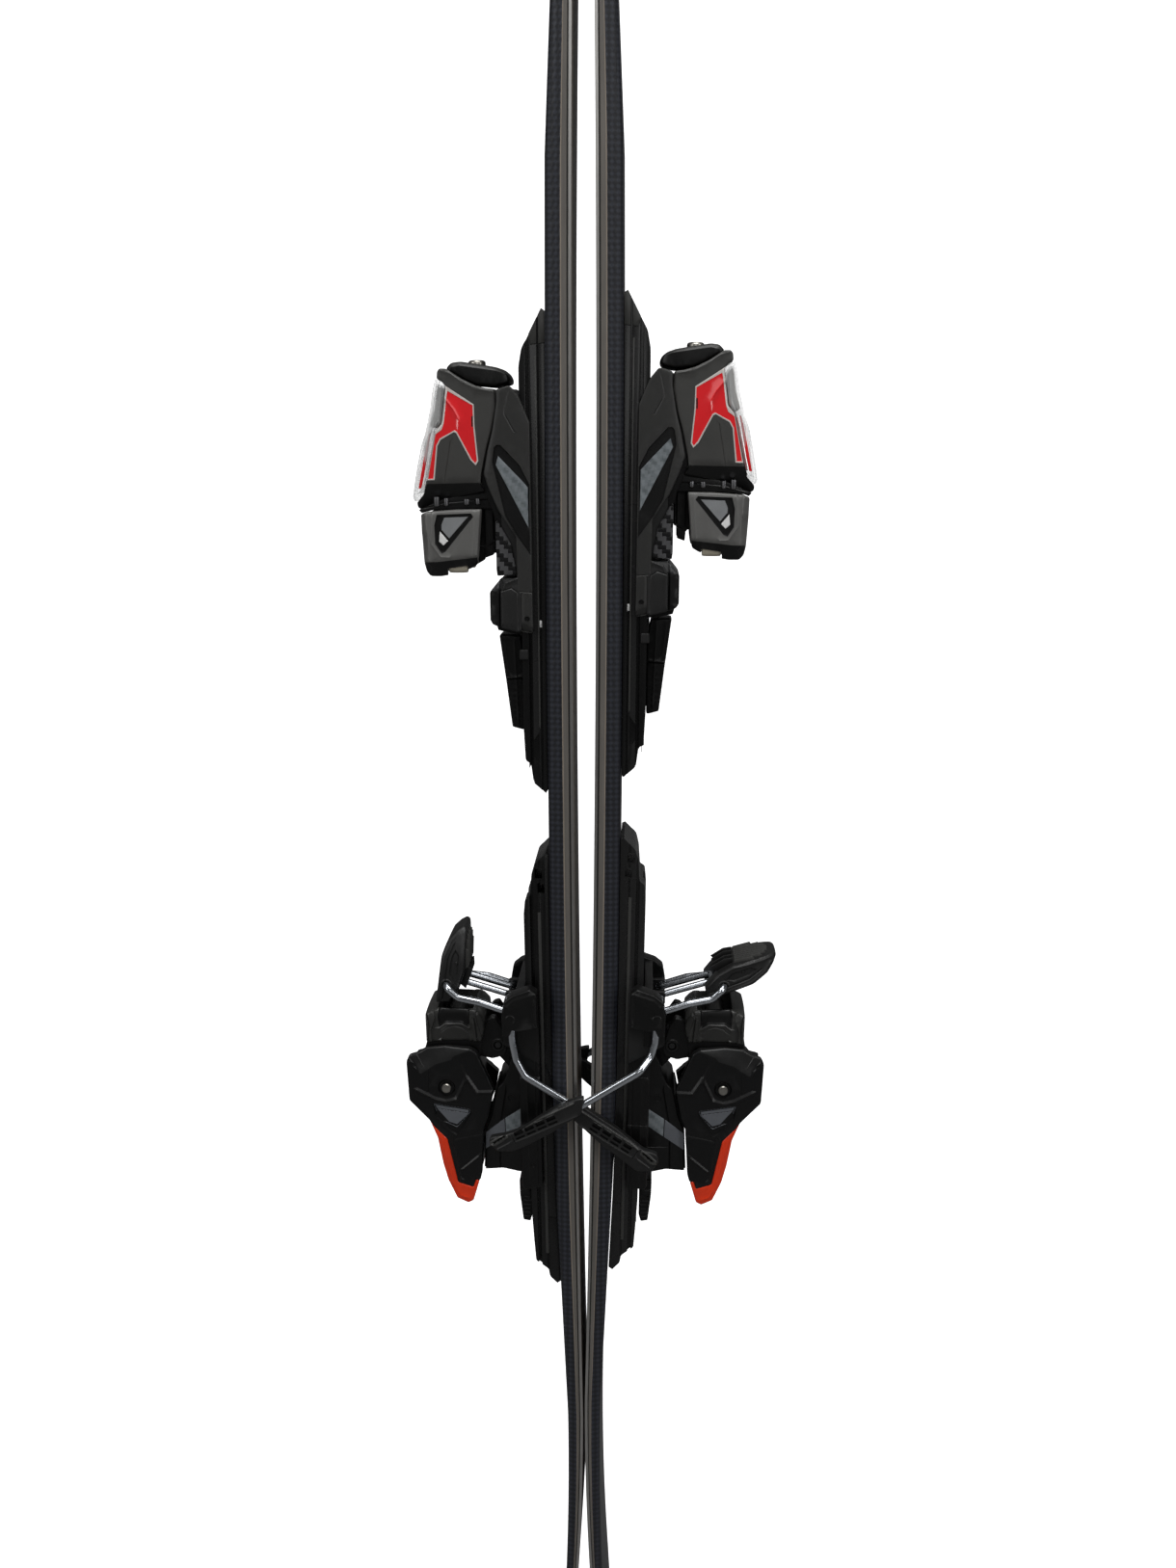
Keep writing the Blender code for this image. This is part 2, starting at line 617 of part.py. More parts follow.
# measured from the hinge on the wire, foot plate along +z and treading face outward
PEDAL = [(8.6, -14), (3, 22), (-3.3, 38), (-11, 43.5), (-16.5, 47.5), (-17.3, 42),
         (-15, 28), (-14, 9), (-9.6, -3.5), (-1.4, -14.3)]
TIP_BAR = [(9.4, 472.8), (4.6, 471.2), (-22.6, 452), (-41.7, 435.3), (-52.3, 431.7),
           (-53.7, 425.6), (-47.9, 418), (-36.4, 418), (-11.7, 438.5), (4.4, 453.6),
           (14, 464)]
WIDE_TIP_BAR = [(2.5, 478.5), (-3.3, 477.5), (-15.5, 472), (-30.6, 461.9), (-43.7, 452.4),
                (-55.1, 448), (-66.5, 445.6), (-67.5, 440.5), (-60.7, 434.7),
                (-49.3, 435.1), (-43.6, 437.3), (-22.8, 449), (-6, 460.8), (0.8, 465.8)]

# arm_y is the arms' distance from the centre line; each arm runs straight from its bend
# below the housing to its end in the tip; neck is the wire's next corner above the bend;
# pedal_turn is in degrees
Brake = namedtuple("Brake", "arm_y neck bend end tip_bar pedal_turn")
NARROW_BRAKE = Brake(arm_y=46.0, neck=(50.8, 504.8), bend=(44.5, 492.0), end=(-1, 462.0),
                     tip_bar=TIP_BAR, pedal_turn=0.0)
WIDE_BRAKE = Brake(arm_y=55.0, neck=(50.4, 507.2), bend=(42.5, 498.8), end=(-16, 460.4),
                   tip_bar=WIDE_TIP_BAR, pedal_turn=77.0)


def brake_housing(side, frame):
    half = BRAKE_HOUSING_HALF
    floor = box((44.1, 50.5), (-half, half), (513, 556))
    housing = piece(side + "_brake_housing", floor, frame, BLACK)
    for cheek_y, block_y in zip(both_sides(36.9, half), both_sides(13.2, 18.0)):
        join(housing, frame, prism(BRAKE_CHEEK, *cheek_y, bevel=1.5),
             box((49.5, 60), block_y, (538.2, 548)))
    for slot_y, open_y in zip(both_sides(42.7, 49.3), both_sides(42.4, 60)):
        cut(housing, frame, prism(BRAKE_SLOT, *slot_y), prism(BRAKE_OPEN, *open_y))
    out, z = BRAKE_PIVOT
    wire_holes = [cylinder((out, y, z), ACROSS, 3.15, 26, 14) for y in (-60, 34)]
    cut(housing, frame, *wire_holes, cross_rod(BAIL_PIVOT, 2.9, 19))


def brake_wire(side, frame, brake):
    """One wire: arm, pivot run, crank, treadle shaft, then the same back again."""
    # out, |y|, z
    half = [(brake.end[0], brake.arm_y, brake.end[1]),
            (brake.bend[0], brake.arm_y, brake.bend[1]),
            (brake.neck[0], CRANK_Y, brake.neck[1]),
            (53.2, CRANK_Y, 518),
            (BRAKE_PIVOT[0], CRANK_Y, BRAKE_PIVOT[1]),
            (BRAKE_PIVOT[0], 33.5, BRAKE_PIVOT[1]),
            (61.5, 33.5, 539), (77, 33, 544.5), (94, 30.5, 547.5),
            (PEDAL_PIVOT[0], 29.8, PEDAL_PIVOT[1])]
    path = [(out, -y, z) for out, y, z in half] + half[::-1]
    piece(side + "_brake_wire", swept(filleted(path, BRAKE_BEND_R), BRAKE_WIRE_R), frame,
          CHROME, (BRAKE_PIVOT[0], 0, BRAKE_PIVOT[1]), smooth=60)


def brake_bail(side, frame):
    (foot_out, foot_z), (end_out, end_z) = BAIL_PIVOT, BAIL_END
    half = [(foot_out, 17.4, foot_z), (foot_out, 10, foot_z), (end_out, 10, end_z)]
    path = [(out, -y, z) for out, y, z in half] + half[::-1]
    piece(side + "_brake_bail", swept(filleted(path, BAIL_BEND_R), BAIL_WIRE_R), frame,
          CHROME, (foot_out, 0, foot_z), smooth=60)


def brake_tips(side, frame, brake):
    (bend_out, bend_z), (end_out, end_z) = brake.bend, brake.end
    run = (end_out - bend_out, 0, end_z - bend_z)
    hole_length = math.dist(brake.bend, brake.end) + 0.6
    tip_ys = both_sides(brake.arm_y - 3.7, brake.arm_y + 3.5)
    for (sign, where), ys in zip(((-1, "near"), (1, "far")), tip_ys):
        tip = piece(f"{side}_brake_tip_{where}", prism(brake.tip_bar, *ys), frame, BLACK)
        start = (bend_out, sign * brake.arm_y, bend_z)
        cut(tip, frame, cylinder(start, run, 3.1, hole_length, 10))


def brake_pedal(side, frame, brake):
    """The treadle, drawn at its hinge and turned to where it hangs."""
    hinge = Matrix.Translation((PEDAL_PIVOT[0], 0, PEDAL_PIVOT[1]))
    hang = frame @ hinge @ Matrix.Rotation(math.radians(brake.pedal_turn), 4, "Y")
    plate = hang @ Matrix.Rotation(math.radians(-PEDAL_LEAN), 4, "Y")
    pedal = piece(side + "_brake_pedal", prism(PEDAL, -25.5, 25.5, bevel=1.0), hang, BLACK,
                  (0, 0, 0))
    cut(pedal, plate, box((-30, 3.6), (-13, 13), (-24, 6.2)))
    cut(pedal, hang, cross_rod((0, 0), 3.1, 40))


# ----------------------------------------------------------------- the pair

# puts the left tail face on the origin
MID_PLANE_X = camber(0) + thickness(0) / 2


def sloped(slope, pivot):
    """Turns a straight unit to the slope of the ski under it."""
    there = Matrix.Translation((pivot[0], 0, pivot[1]))
    return there @ Matrix.Rotation(slope, 4, "Y") @ there.inverted()


def build_side(side, facing, lift, heel_shift, brake):
    to_ski = Matrix.Translation((MID_PLANE_X, 0, lift)) @ Matrix.Diagonal((facing, 1, 1, 1))
    to_toe = to_ski @ sloped(TOE_SLOPE, TOE_AT)
    to_heel_rail = to_ski @ sloped(HEEL_SLOPE, HEEL_AT)
    to_heel = to_heel_rail @ Matrix.Translation((0, 0, heel_shift))

    ski(side, to_ski)
    for build in (toe_rail, toe_base, toe_housing, toe_lens, toe_screw, toe_indicator,
                  toe_spring, toe_wings, rest_pad, toe_lock_tongue):
        build(side, to_toe)
    heel_rail(side, to_heel_rail)
    for build in (heel_carriage, heel_cup, heel_lever, lever_pin, heel_spring,
                  heel_lock_tongue, brake_housing):
        build(side, to_heel)
    brake_wire(side, to_heel, brake)
    brake_bail(side, to_heel)
    brake_tips(side, to_heel, brake)
    brake_pedal(side, to_heel, brake)


build_side("left", facing=-1, lift=0.0, heel_shift=0.0, brake=NARROW_BRAKE)
build_side("right", facing=1, lift=RIGHT_SKI_LIFT, heel_shift=RIGHT_HEEL_SHIFT,
           brake=WIDE_BRAKE)
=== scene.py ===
"""A pair of alpine skis standing on their tails, with rail-mounted bindings, around the CAD frame.

Shapes are drawn in each unit's design frame in millimetres: u away from the mid plane of the
pair, y across the ski (negative near the camera), z up along the ski. Outlines are lists of
(u, z) points and sections are lists of (u, y) points, unless a comment says otherwise.
"""
import dataclasses
import json
import math
from collections import Counter

import bmesh
import bpy
import numpy as np
from mathutils import Matrix, Vector
from mathutils.geometry import delaunay_2d_cdt

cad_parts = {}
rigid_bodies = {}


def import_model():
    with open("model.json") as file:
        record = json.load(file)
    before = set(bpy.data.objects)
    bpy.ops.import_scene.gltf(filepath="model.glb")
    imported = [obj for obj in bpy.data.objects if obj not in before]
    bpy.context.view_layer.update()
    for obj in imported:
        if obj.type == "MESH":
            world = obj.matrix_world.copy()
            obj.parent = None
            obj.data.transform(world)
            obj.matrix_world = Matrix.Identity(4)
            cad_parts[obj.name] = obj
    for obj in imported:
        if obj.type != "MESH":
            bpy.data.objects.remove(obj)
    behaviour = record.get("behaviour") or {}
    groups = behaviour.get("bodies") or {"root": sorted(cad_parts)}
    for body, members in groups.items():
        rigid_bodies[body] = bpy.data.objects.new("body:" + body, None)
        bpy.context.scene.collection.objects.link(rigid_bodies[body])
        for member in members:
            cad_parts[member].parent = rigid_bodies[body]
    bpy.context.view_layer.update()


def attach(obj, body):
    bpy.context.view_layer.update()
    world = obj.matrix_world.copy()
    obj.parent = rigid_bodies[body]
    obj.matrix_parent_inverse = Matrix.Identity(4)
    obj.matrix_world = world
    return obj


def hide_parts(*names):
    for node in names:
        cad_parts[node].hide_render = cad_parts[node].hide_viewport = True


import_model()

MM = 0.001
X_MID = 14.6  # mid plane of the pair
OUTWARD, ACROSS, UP = (1, 0, 0), (0, 1, 0), (0, 0, 1)  # axes of a design frame
MIRROR = Matrix.Diagonal((1, -1, 1, 1))  # swaps near and far

# Each binding end is tilted about a (u, z) pivot to follow the ski
TOE_TILT, TOE_PIVOT = 0.0079, (27.5, 870.0)
HEEL_TILT, HEEL_PIVOT = 0.0187, (24.8, 553.0)

# side, sign of x, lift of the ski, shift of the heel, y of the brake arm, treadle turn (degrees)
SIDES = (
    ("left", -1, 0.0, 0.0, 46.0, 0.0),
    ("right", 1, 12.0, -11.0, 55.0, 77.0),
)


# ------------------------------------------------------------------ node helpers
def shade(colour, gain, lift=0.0):
    return tuple(min(1.0, c * gain + lift) for c in colour)


class Shader:
    """A small wrapper for building node materials in object space (metres)."""

    def __init__(self, name):
        self.material = bpy.data.materials.new(name)
        self.material.use_nodes = True
        self.tree = self.material.node_tree
        self.bsdf = self.tree.nodes["Principled BSDF"]
        self.place = self.node("ShaderNodeTexCoord").outputs["Object"]

    def node(self, kind, **settings):
        node = self.tree.nodes.new(kind)
        for key, setting in settings.items():
            setattr(node, key, setting)
        return node

    def put(self, socket, value):
        """Links a socket, or sets a plain value or colour."""
        if isinstance(value, bpy.types.NodeSocket):
            self.tree.links.new(value, socket)
        elif isinstance(value, tuple):
            socket.default_value = (*value, 1.0)
        else:
            socket.default_value = value

    def finish(self, **inputs):
        """Fills the surface inputs, named with underscores, and gives the material."""
        for key, value in inputs.items():
            self.put(self.bsdf.inputs[key.replace("_", " ")], value)
        return self.material

    def noise(self, scale, detail, rough, z_scale=None):
        """Noise; a z_scale under 1 draws it out along the ski."""
        place = self.place
        if z_scale is not None:
            mapping = self.node("ShaderNodeMapping")
            self.put(mapping.inputs["Vector"], place)
            mapping.inputs["Scale"].default_value = (1, 1, z_scale)
            place = mapping.outputs["Vector"]
        node = self.node("ShaderNodeTexNoise")
        self.put(node.inputs["Vector"], place)
        node.inputs["Scale"].default_value = scale
        node.inputs["Detail"].default_value = detail
        node.inputs["Roughness"].default_value = rough
        return node.outputs["Fac"]

    def voronoi(self, scale):
        node = self.node("ShaderNodeTexVoronoi")
        self.put(node.inputs["Vector"], self.place)
        node.inputs["Scale"].default_value = scale
        return node.outputs["Distance"]

    def ramp(self, factor, *stops):
        """A colour ramp through (position, grey) stops."""
        node = self.node("ShaderNodeValToRGB")
        while len(node.color_ramp.elements) < len(stops):
            node.color_ramp.elements.new(0.5)
        for element, (position, grey) in zip(node.color_ramp.elements, stops):
            element.position = position
            element.color = (grey, grey, grey, 1.0)
        self.put(node.inputs["Fac"], factor)
        return node.outputs["Color"]

    def math(self, operation, first, second=0.0):
        node = self.node("ShaderNodeMath", operation=operation)
        self.put(node.inputs[0], first)
        self.put(node.inputs[1], second)
        return node.outputs[0]

    def plus(self, first, second):
        return self.math("ADD", first, second)

    def times(self, first, second):
        return self.math("MULTIPLY", first, second)

    def varied(self, level, pattern, by):
        return self.plus(level, self.times(pattern, by))

    def mix(self, factor, first, second):
        node = self.node("ShaderNodeMix", data_type="RGBA")
        self.put(node.inputs["Factor"], factor)
        self.put(node.inputs[6], first)
        self.put(node.inputs[7], second)
        return node.outputs[2]

    def bump(self, height, strength, distance):
        node = self.node("ShaderNodeBump")
        node.inputs["Strength"].default_value = strength
        node.inputs["Distance"].default_value = distance
        self.put(node.inputs["Height"], height)
        return node.outputs["Normal"]

    def xyz(self):
        node = self.node("ShaderNodeSeparateXYZ")
        self.put(node.inputs[0], self.place)
        return node.outputs

    def convex_edges(self):
        """1 on convex edges, 0 elsewhere."""
        geometry = self.node("ShaderNodeNewGeometry")
        return self.ramp(geometry.outputs["Pointiness"], (0.52, 0), (0.60, 1))


# --------------------------------------------------------------------- materials
def plastic(name, colour, rough, grain, depth, vary, edge_wear_and_sheen, specular=0.45, coat=0.0):
    """Moulded plastic: spark-eroded grain, cloudy colour, a little dust, and convex edges painted
    lighter, as scuffs and as a painted edge highlight.
    """
    look = Shader(name)
    cloud = look.noise(scale=38, detail=4, rough=0.6)
    base = look.mix(cloud, shade(colour, 1 - vary), shade(colour, 1 + vary, 0.0008))
    dust = look.ramp(look.noise(scale=210, detail=6, rough=0.7), (0.60, 0), (0.78, 1))
    base = look.mix(look.times(dust, 0.03), base, (0.20, 0.19, 0.18))
    # convex edges lightened: scuffs, and partly a painted edge highlight
    scuffs_and_edge_sheen = look.times(look.convex_edges(), edge_wear_and_sheen)
    base = look.mix(scuffs_and_edge_sheen, base, shade(colour, 2.2, 0.018))
    fine = look.noise(scale=grain, detail=3, rough=0.6)
    height = look.varied(fine, look.voronoi(grain * 1.6), by=0.6)
    smears = look.noise(scale=70, detail=5, rough=0.65)
    return look.finish(
        Base_Color=base, Roughness=look.varied(rough - 0.06, smears, by=0.14),
        Normal=look.bump(height, strength=depth, distance=0.00012),
        Specular_IOR_Level=specular, Coat_Weight=coat, Coat_Roughness=0.08)


def steel(name, colour, rough, z_scale, depth, vary, rust=0.0):
    """Metal with drawn or ground streaks."""
    look = Shader(name)
    lines = look.noise(scale=2600, detail=3, rough=0.6, z_scale=z_scale)
    cloud = look.noise(scale=60, detail=4, rough=0.6)
    base = look.mix(cloud, shade(colour, 1 - vary), shade(colour, 1 + vary))
    if rust:
        spots = look.ramp(look.noise(scale=160, detail=8, rough=0.75), (0.62, 0), (0.74, 1))
        base = look.mix(look.times(spots, rust), base, (0.16, 0.085, 0.045))
    return look.finish(
        Base_Color=base, Roughness=look.varied(rough - 0.05, lines, by=0.16), Metallic=1.0,
        Normal=look.bump(lines, strength=depth, distance=0.00008))


def twill(look, pitch, turn=0.0):
    """A two-over-two twill in x and z: which strand is on top, and its height."""
    x, _, z = look.xyz()
    cos, sin = math.cos(turn), math.sin(turn)
    warp = look.plus(look.times(x, cos / pitch), look.times(z, sin / pitch))
    weft = look.plus(look.times(z, cos / pitch), look.times(x, -sin / pitch))
    warp_cell, weft_cell = look.math("FLOOR", warp), look.math("FLOOR", weft)
    phase = look.math("FLOORED_MODULO", look.plus(warp_cell, weft_cell), 4.0)
    over = look.math("LESS_THAN", phase, 2.0)
    warp_part, weft_part = look.math("FRACT", warp), look.math("FRACT", weft)
    warp_arch = look.math("SINE", look.times(warp_part, math.pi))
    weft_arch = look.math("SINE", look.times(weft_part, math.pi))
    height = look.plus(look.times(over, warp_arch),
                       look.times(look.math("SUBTRACT", 1.0, over), weft_arch))
    return over, height


def woven(name, dark, light, pitch, rough, coat, patchy, depth, metal):
    look = Shader(name)
    over, height = twill(look, pitch)
    strands = look.noise(scale=5200, detail=2, rough=0.5, z_scale=0.05)
    base = look.mix(over, dark, light)
    if patchy:
        cells = look.voronoi(1.0 / (pitch * 2.3))
        patches = look.times(look.ramp(cells, (0.25, 0), (0.65, 1)), patchy)
        base = look.mix(patches, base, shade(light, 1.8))
    base = look.mix(look.times(strands, 0.35), base, dark)
    return look.finish(
        Base_Color=base, Roughness=look.varied(rough, over, by=0.12), Metallic=metal,
        Normal=look.bump(height, strength=depth, distance=0.00015),
        Coat_Weight=coat, Coat_Roughness=0.05)


def speckled(name, colour, rough, flakes, metal):
    """Metallic flake print."""
    look = Shader(name)
    flake = look.ramp(look.voronoi(2600), (0.08, 1), (0.32, 0))
    cloud = look.noise(scale=120, detail=3, rough=0.6)
    base = look.mix(cloud, shade(colour, 0.85), shade(colour, 1.15))
    base = look.mix(look.times(flake, flakes), base, shade(colour, 1.9, 0.05))
    return look.finish(
        Base_Color=base, Roughness=look.varied(rough, cloud, by=0.1), Metallic=metal,
        Normal=look.bump(flake, strength=0.12, distance=0.00008))


def gloss(name, colour, rough, vary):
    """Glossy printed or clear-coated plastic."""
    look = Shader(name)
    cloud = look.noise(scale=55, detail=3, rough=0.5)
    smears = look.noise(scale=240, detail=5, rough=0.7)
    base = look.mix(cloud, shade(colour, 1 - vary), shade(colour, 1 + vary))
    return look.finish(
        Base_Color=base, Roughness=look.varied(rough - 0.03, smears, by=0.12),
        Normal=look.bump(smears, strength=0.03, distance=0.0001),
        Coat_Weight=0.6, Coat_Roughness=0.04)


def clear_cover():
    """Clear cover: a glossy skin, see-through in some streaks and light grey in others; the light
    grey is a painted reflection in the clear plastic.
    """
    look = Shader("indicator_lens")
    # light grey of the opaque streaks: a painted reflection
    sheen_grey = (0.70, 0.71, 0.71)
    haze = look.noise(scale=90, detail=4, rough=0.6)
    lines = look.noise(scale=130, detail=2, rough=0.5, z_scale=0.10)
    return look.finish(
        Base_Color=look.mix(haze, shade(sheen_grey, 0.75), sheen_grey),
        Roughness=look.varied(0.05, haze, by=0.08),
        Normal=look.bump(lines, strength=0.12, distance=0.0004),
        Alpha=look.varied(0.16, look.ramp(lines, (0.40, 0), (0.62, 1)), by=0.34),
        Coat_Weight=1.0, Coat_Roughness=0.03)


def ski_sidewall():
    """Grey-brown sidewall with grain along the ski, from milling and from use."""
    look = Shader("ski_sidewall")
    grain = look.noise(scale=900, detail=5, rough=0.65, z_scale=0.012)
    blotch = look.noise(scale=26, detail=4, rough=0.6, z_scale=0.35)
    base = look.mix(grain, (0.098, 0.089, 0.078), (0.185, 0.170, 0.152))
    stain = look.times(look.ramp(blotch, (0.35, 0), (0.7, 1)), 0.45)
    base = look.mix(stain, base, (0.070, 0.065, 0.061))
    return look.finish(
        Base_Color=base, Roughness=look.varied(0.42, grain, by=0.2),
        Normal=look.bump(grain, strength=0.25, distance=0.0001))


def ski_base():
    """Sintered base: stone-ground structure along the ski, with broad blotches."""
    look = Shader("ski_base")
    grind = look.noise(scale=1500, detail=3, rough=0.6, z_scale=0.008)
    broad = look.noise(scale=70, detail=4, rough=0.6, z_scale=0.05)
    base = look.mix(grind, (0.215, 0.190, 0.158), (0.370, 0.335, 0.290))
    base = look.mix(look.times(broad, 0.5), base, (0.190, 0.172, 0.150))
    return look.finish(
        Base_Color=base, Roughness=look.varied(0.28, grind, by=0.22),
        Normal=look.bump(grind, strength=0.3, distance=0.00008))


def facets(look, base, _):
    """Quiet slanted facets, mirrored about the middle of the ski."""
    length = 0.16
    _, y, z = look.xyz()
    slant = look.varied(z, look.math("ABSOLUTE", y), by=2.4)
    tooth = look.math("PINGPONG", slant, length)
    band = look.ramp(look.times(tooth, 1 / length), (0.46, 0), (0.47, 1), (0.53, 1), (0.54, 0))
    wide = look.ramp(look.times(tooth, 1 / length), (0.62, 0), (0.63, 1))
    base = look.mix(look.times(wide, 0.55), base, (0.020, 0.022, 0.028))
    return look.mix(look.times(band, 0.6), base, (0.050, 0.054, 0.062))


def stud_highlights(look, base, colour):
    """Small lighter diamonds, 3.9 mm along the ski and 4.2 mm in x: painted highlights standing in
    for light on the pressed studs.
    """
    x, _, z = look.xyz()
    along, over = look.times(z, math.pi / 0.0039), look.times(x, math.pi / 0.0042)
    scale = look.times(look.math("SINE", look.plus(along, over)),
                       look.math("SINE", look.math("SUBTRACT", along, over)))
    # lighter where the studs would catch the light: painted highlight
    stud_highlight_mask = look.ramp(look.plus(look.times(scale, 0.5), 0.5), (0.35, 0), (0.8, 1))
    return look.mix(stud_highlight_mask, base, shade(colour, 3.0, 0.004))


def cap(name, colour, pattern, rough, coat):
    """Blue-black lacquer with fine grain and a pattern laid on its colour: print on the topsheet,
    painted stud highlights on the side band.
    """
    look = Shader(name)
    cloud = look.noise(scale=45, detail=4, rough=0.6)
    fine = look.noise(scale=1900, detail=3, rough=0.6)
    base = look.mix(cloud, shade(colour, 0.85), shade(colour, 1.2))
    return look.finish(
        Base_Color=pattern(look, base, colour), Roughness=look.varied(rough, fine, by=0.12),
        Normal=look.bump(fine, strength=0.10, distance=0.00008),
        Coat_Weight=coat, Coat_Roughness=0.2)


# key: name, colour, roughness, grain scale, grain depth, colour variation, edge wear and painted
# edge highlight,
#      specular level, coat weight
PLASTICS = {
    "line": ("ski_inlay_line", (0.26, 0.22, 0.18), 0.45, 1400, 0.25, 0.25, 0.1),
    # gap: the near-black strip in the sidewall's foot, a painted shadow in the gap above the steel
    # edge
    "gap": ("ski_rubber_foil", (0.012, 0.011, 0.010), 0.6, 1400, 0.25, 0.25, 0.0),
    "rail": ("rail_nylon", (0.0024, 0.0024, 0.0024), 0.26, 900, 0.12, 0.3, 0.6, 0.4),
    # railcap: the rail's grey end cap, and the lighter grey of painted highlight strips and ribs
    "railcap": ("rail_cap_nylon", (0.034, 0.034, 0.032), 0.40, 900, 0.2, 0.2, 0.5),
    "charcoal": ("binding_charcoal", (0.0185, 0.0185, 0.0175), 0.46, 1500, 0.35, 0.2, 0.5),
    "shell": ("housing_charcoal", (0.042, 0.0415, 0.039), 0.46, 1500, 0.35, 0.2, 0.4),
    "arm": ("binding_arm_black", (0.008, 0.008, 0.008), 0.46, 1500, 0.3, 0.25, 0.5),
    # black: black plastic, also painted shade on the housing lip, the collar's neck and the brake
    # foot openings
    "black": ("binding_black", (0.0026, 0.0026, 0.0026), 0.34, 1300, 0.2, 0.3, 0.7, 0.35),
    "wing": ("wing_grained_grey", (0.118, 0.117, 0.112), 0.44, 900, 0.6, 0.2, 0.4),
    "cream": ("roller_acetal", (0.56, 0.51, 0.40), 0.42, 600, 0.15, 0.12, 0.1),
    "orange": ("indicator_orange", (0.75, 0.16, 0.03), 0.42, 800, 0.15, 0.12, 0.1),
    "lever": ("lever_black", (0.0030, 0.0030, 0.0032), 0.34, 1500, 0.25, 0.25, 0.7, 0.35),
    # levertop: lighter grey on the lever's up-facing shoulder, a painted highlight
    "levertop": ("lever_shoulder_grey", (0.011, 0.011, 0.011), 0.34, 1300, 0.25, 0.2, 0.4),
    "grip": ("lever_grip_red", (0.82, 0.042, 0.006), 0.30, 900, 0.12, 0.12, 0.12, 0.5, 0.15),
    # ramp: lighter grey on the rest's upward sloping faces, a painted highlight
    "ramp": ("rest_ramp_grey", (0.028, 0.029, 0.030), 0.22, 700, 0.1, 0.2, 0.5),
    "slide": ("rest_slide_plate", (0.0065, 0.0065, 0.007), 0.26, 500, 0.08, 0.2, 0.5),
    # cup: the heel cup's charcoal, also the lighter grey of the heel rail ribs, a painted highlight
    "cup": ("heel_cup_charcoal", (0.0240, 0.0240, 0.0225), 0.36, 1400, 0.25, 0.2, 0.5),
}

# key: name, colour, roughness, z scale of the streaks, streak depth, colour variation, rust
STEELS = {
    "edge": ("ski_edge_steel", (0.52, 0.51, 0.49), 0.30, 0.01, 0.12, 0.15, 0.12),
    "zinc": ("zinc_wire", (0.58, 0.61, 0.65), 0.17, 0.15, 0.10, 0.16),
    "screw": ("zinc_screw", (0.40, 0.385, 0.35), 0.30, 1, 0.06, 0.15),
    "spring": ("spring_steel", (0.26, 0.26, 0.27), 0.32, 0.3, 0.1, 0.18),
}

MATERIALS = {key: plastic(*row) for key, row in PLASTICS.items()}
MATERIALS |= {key: steel(*row) for key, row in STEELS.items()}
MATERIALS |= {
    # the cap's side band: painted highlights of its studs over the lacquer
    "band": cap("ski_cap_side", (0.0070, 0.0080, 0.0115), stud_highlights, rough=0.40, coat=0.05),
    "top": cap("ski_topsheet", (0.0075, 0.0080, 0.0110), facets, rough=0.34, coat=0.25),
    "side": ski_sidewall(),
    "base": ski_base(),
    "flake": speckled("wing_decal_metallic", (0.30, 0.31, 0.32), rough=0.38, flakes=0.35,
                      metal=0.45),
    "slate": speckled("decal_slate", (0.125, 0.133, 0.148), rough=0.45, flakes=0.15, metal=0.2),
    "silver": woven("decal_silver_weave", (0.120, 0.138, 0.148), (0.185, 0.205, 0.218),
                    pitch=0.0021, rough=0.42, coat=0.2, patchy=0.35, depth=0.12, metal=0.2),
    "carbon": woven("carbon_weave", (0.003, 0.003, 0.0035), (0.088, 0.088, 0.092),
                    pitch=0.0030, rough=0.26, coat=0.5, patchy=0.0, depth=0.45, metal=0.1),
    "white": gloss("decal_white", (0.82, 0.82, 0.81), rough=0.3, vary=0.05),
    "red": gloss("trim_red", (0.80, 0.016, 0.022), rough=0.16, vary=0.10),
    "rim": gloss("trim_clear_edge", (0.62, 0.58, 0.55), rough=0.12, vary=0.1),
    # light grey ribs behind the clear cover: painted glints
    "glint": gloss("lens_inner_ribs", (0.42, 0.40, 0.37), rough=0.22, vary=0.2),
    "lens": clear_cover(),
}


# -------------------------------------------------------------------- 2-D tools
def past(number, level):
    """How far a number is beyond a level, or 0."""
    return max(0.0, number - level)


def area(loop):
    return 0.5 * sum(a[0] * b[1] - b[0] * a[1] for a, b in zip(loop, loop[1:] + loop[:1]))


def ccw(loop):
    loop = [tuple(p) for p in loop]
    return loop if area(loop) > 0 else loop[::-1]


def rounded(loop, radius, steps=3, skip=()):
    """Corners replaced by short curves."""
    out = []
    for i, corner in enumerate(loop):
        if i in skip:
            out.append(tuple(corner))
            continue
        before, after = loop[i - 1], loop[(i + 1) % len(loop)]
        ends = []
        for other in (before, after):
            span = math.dist(other, corner)
            share = min(radius, 0.45 * span) / span
            ends.append([corner[c] + (other[c] - corner[c]) * share for c in (0, 1)])
        start, end = ends
        for k in range(steps + 1):
            t = k / steps
            out.append(tuple((1 - t) ** 2 * start[c] + 2 * t * (1 - t) * corner[c]
                             + t * t * end[c] for c in (0, 1)))
    return out


def densify(curve, step, closed):
    out, count = [], len(curve)
    for i in range(count if closed else count - 1):
        a, b = curve[i], curve[(i + 1) % count]
        k = max(1, math.ceil(math.dist(a, b) / step - 1e-6))
        out += [(a[0] + (b[0] - a[0]) * j / k, a[1] + (b[1] - a[1]) * j / k) for j in range(k)]
    if not closed:
        out.append(tuple(curve[-1]))
    return out


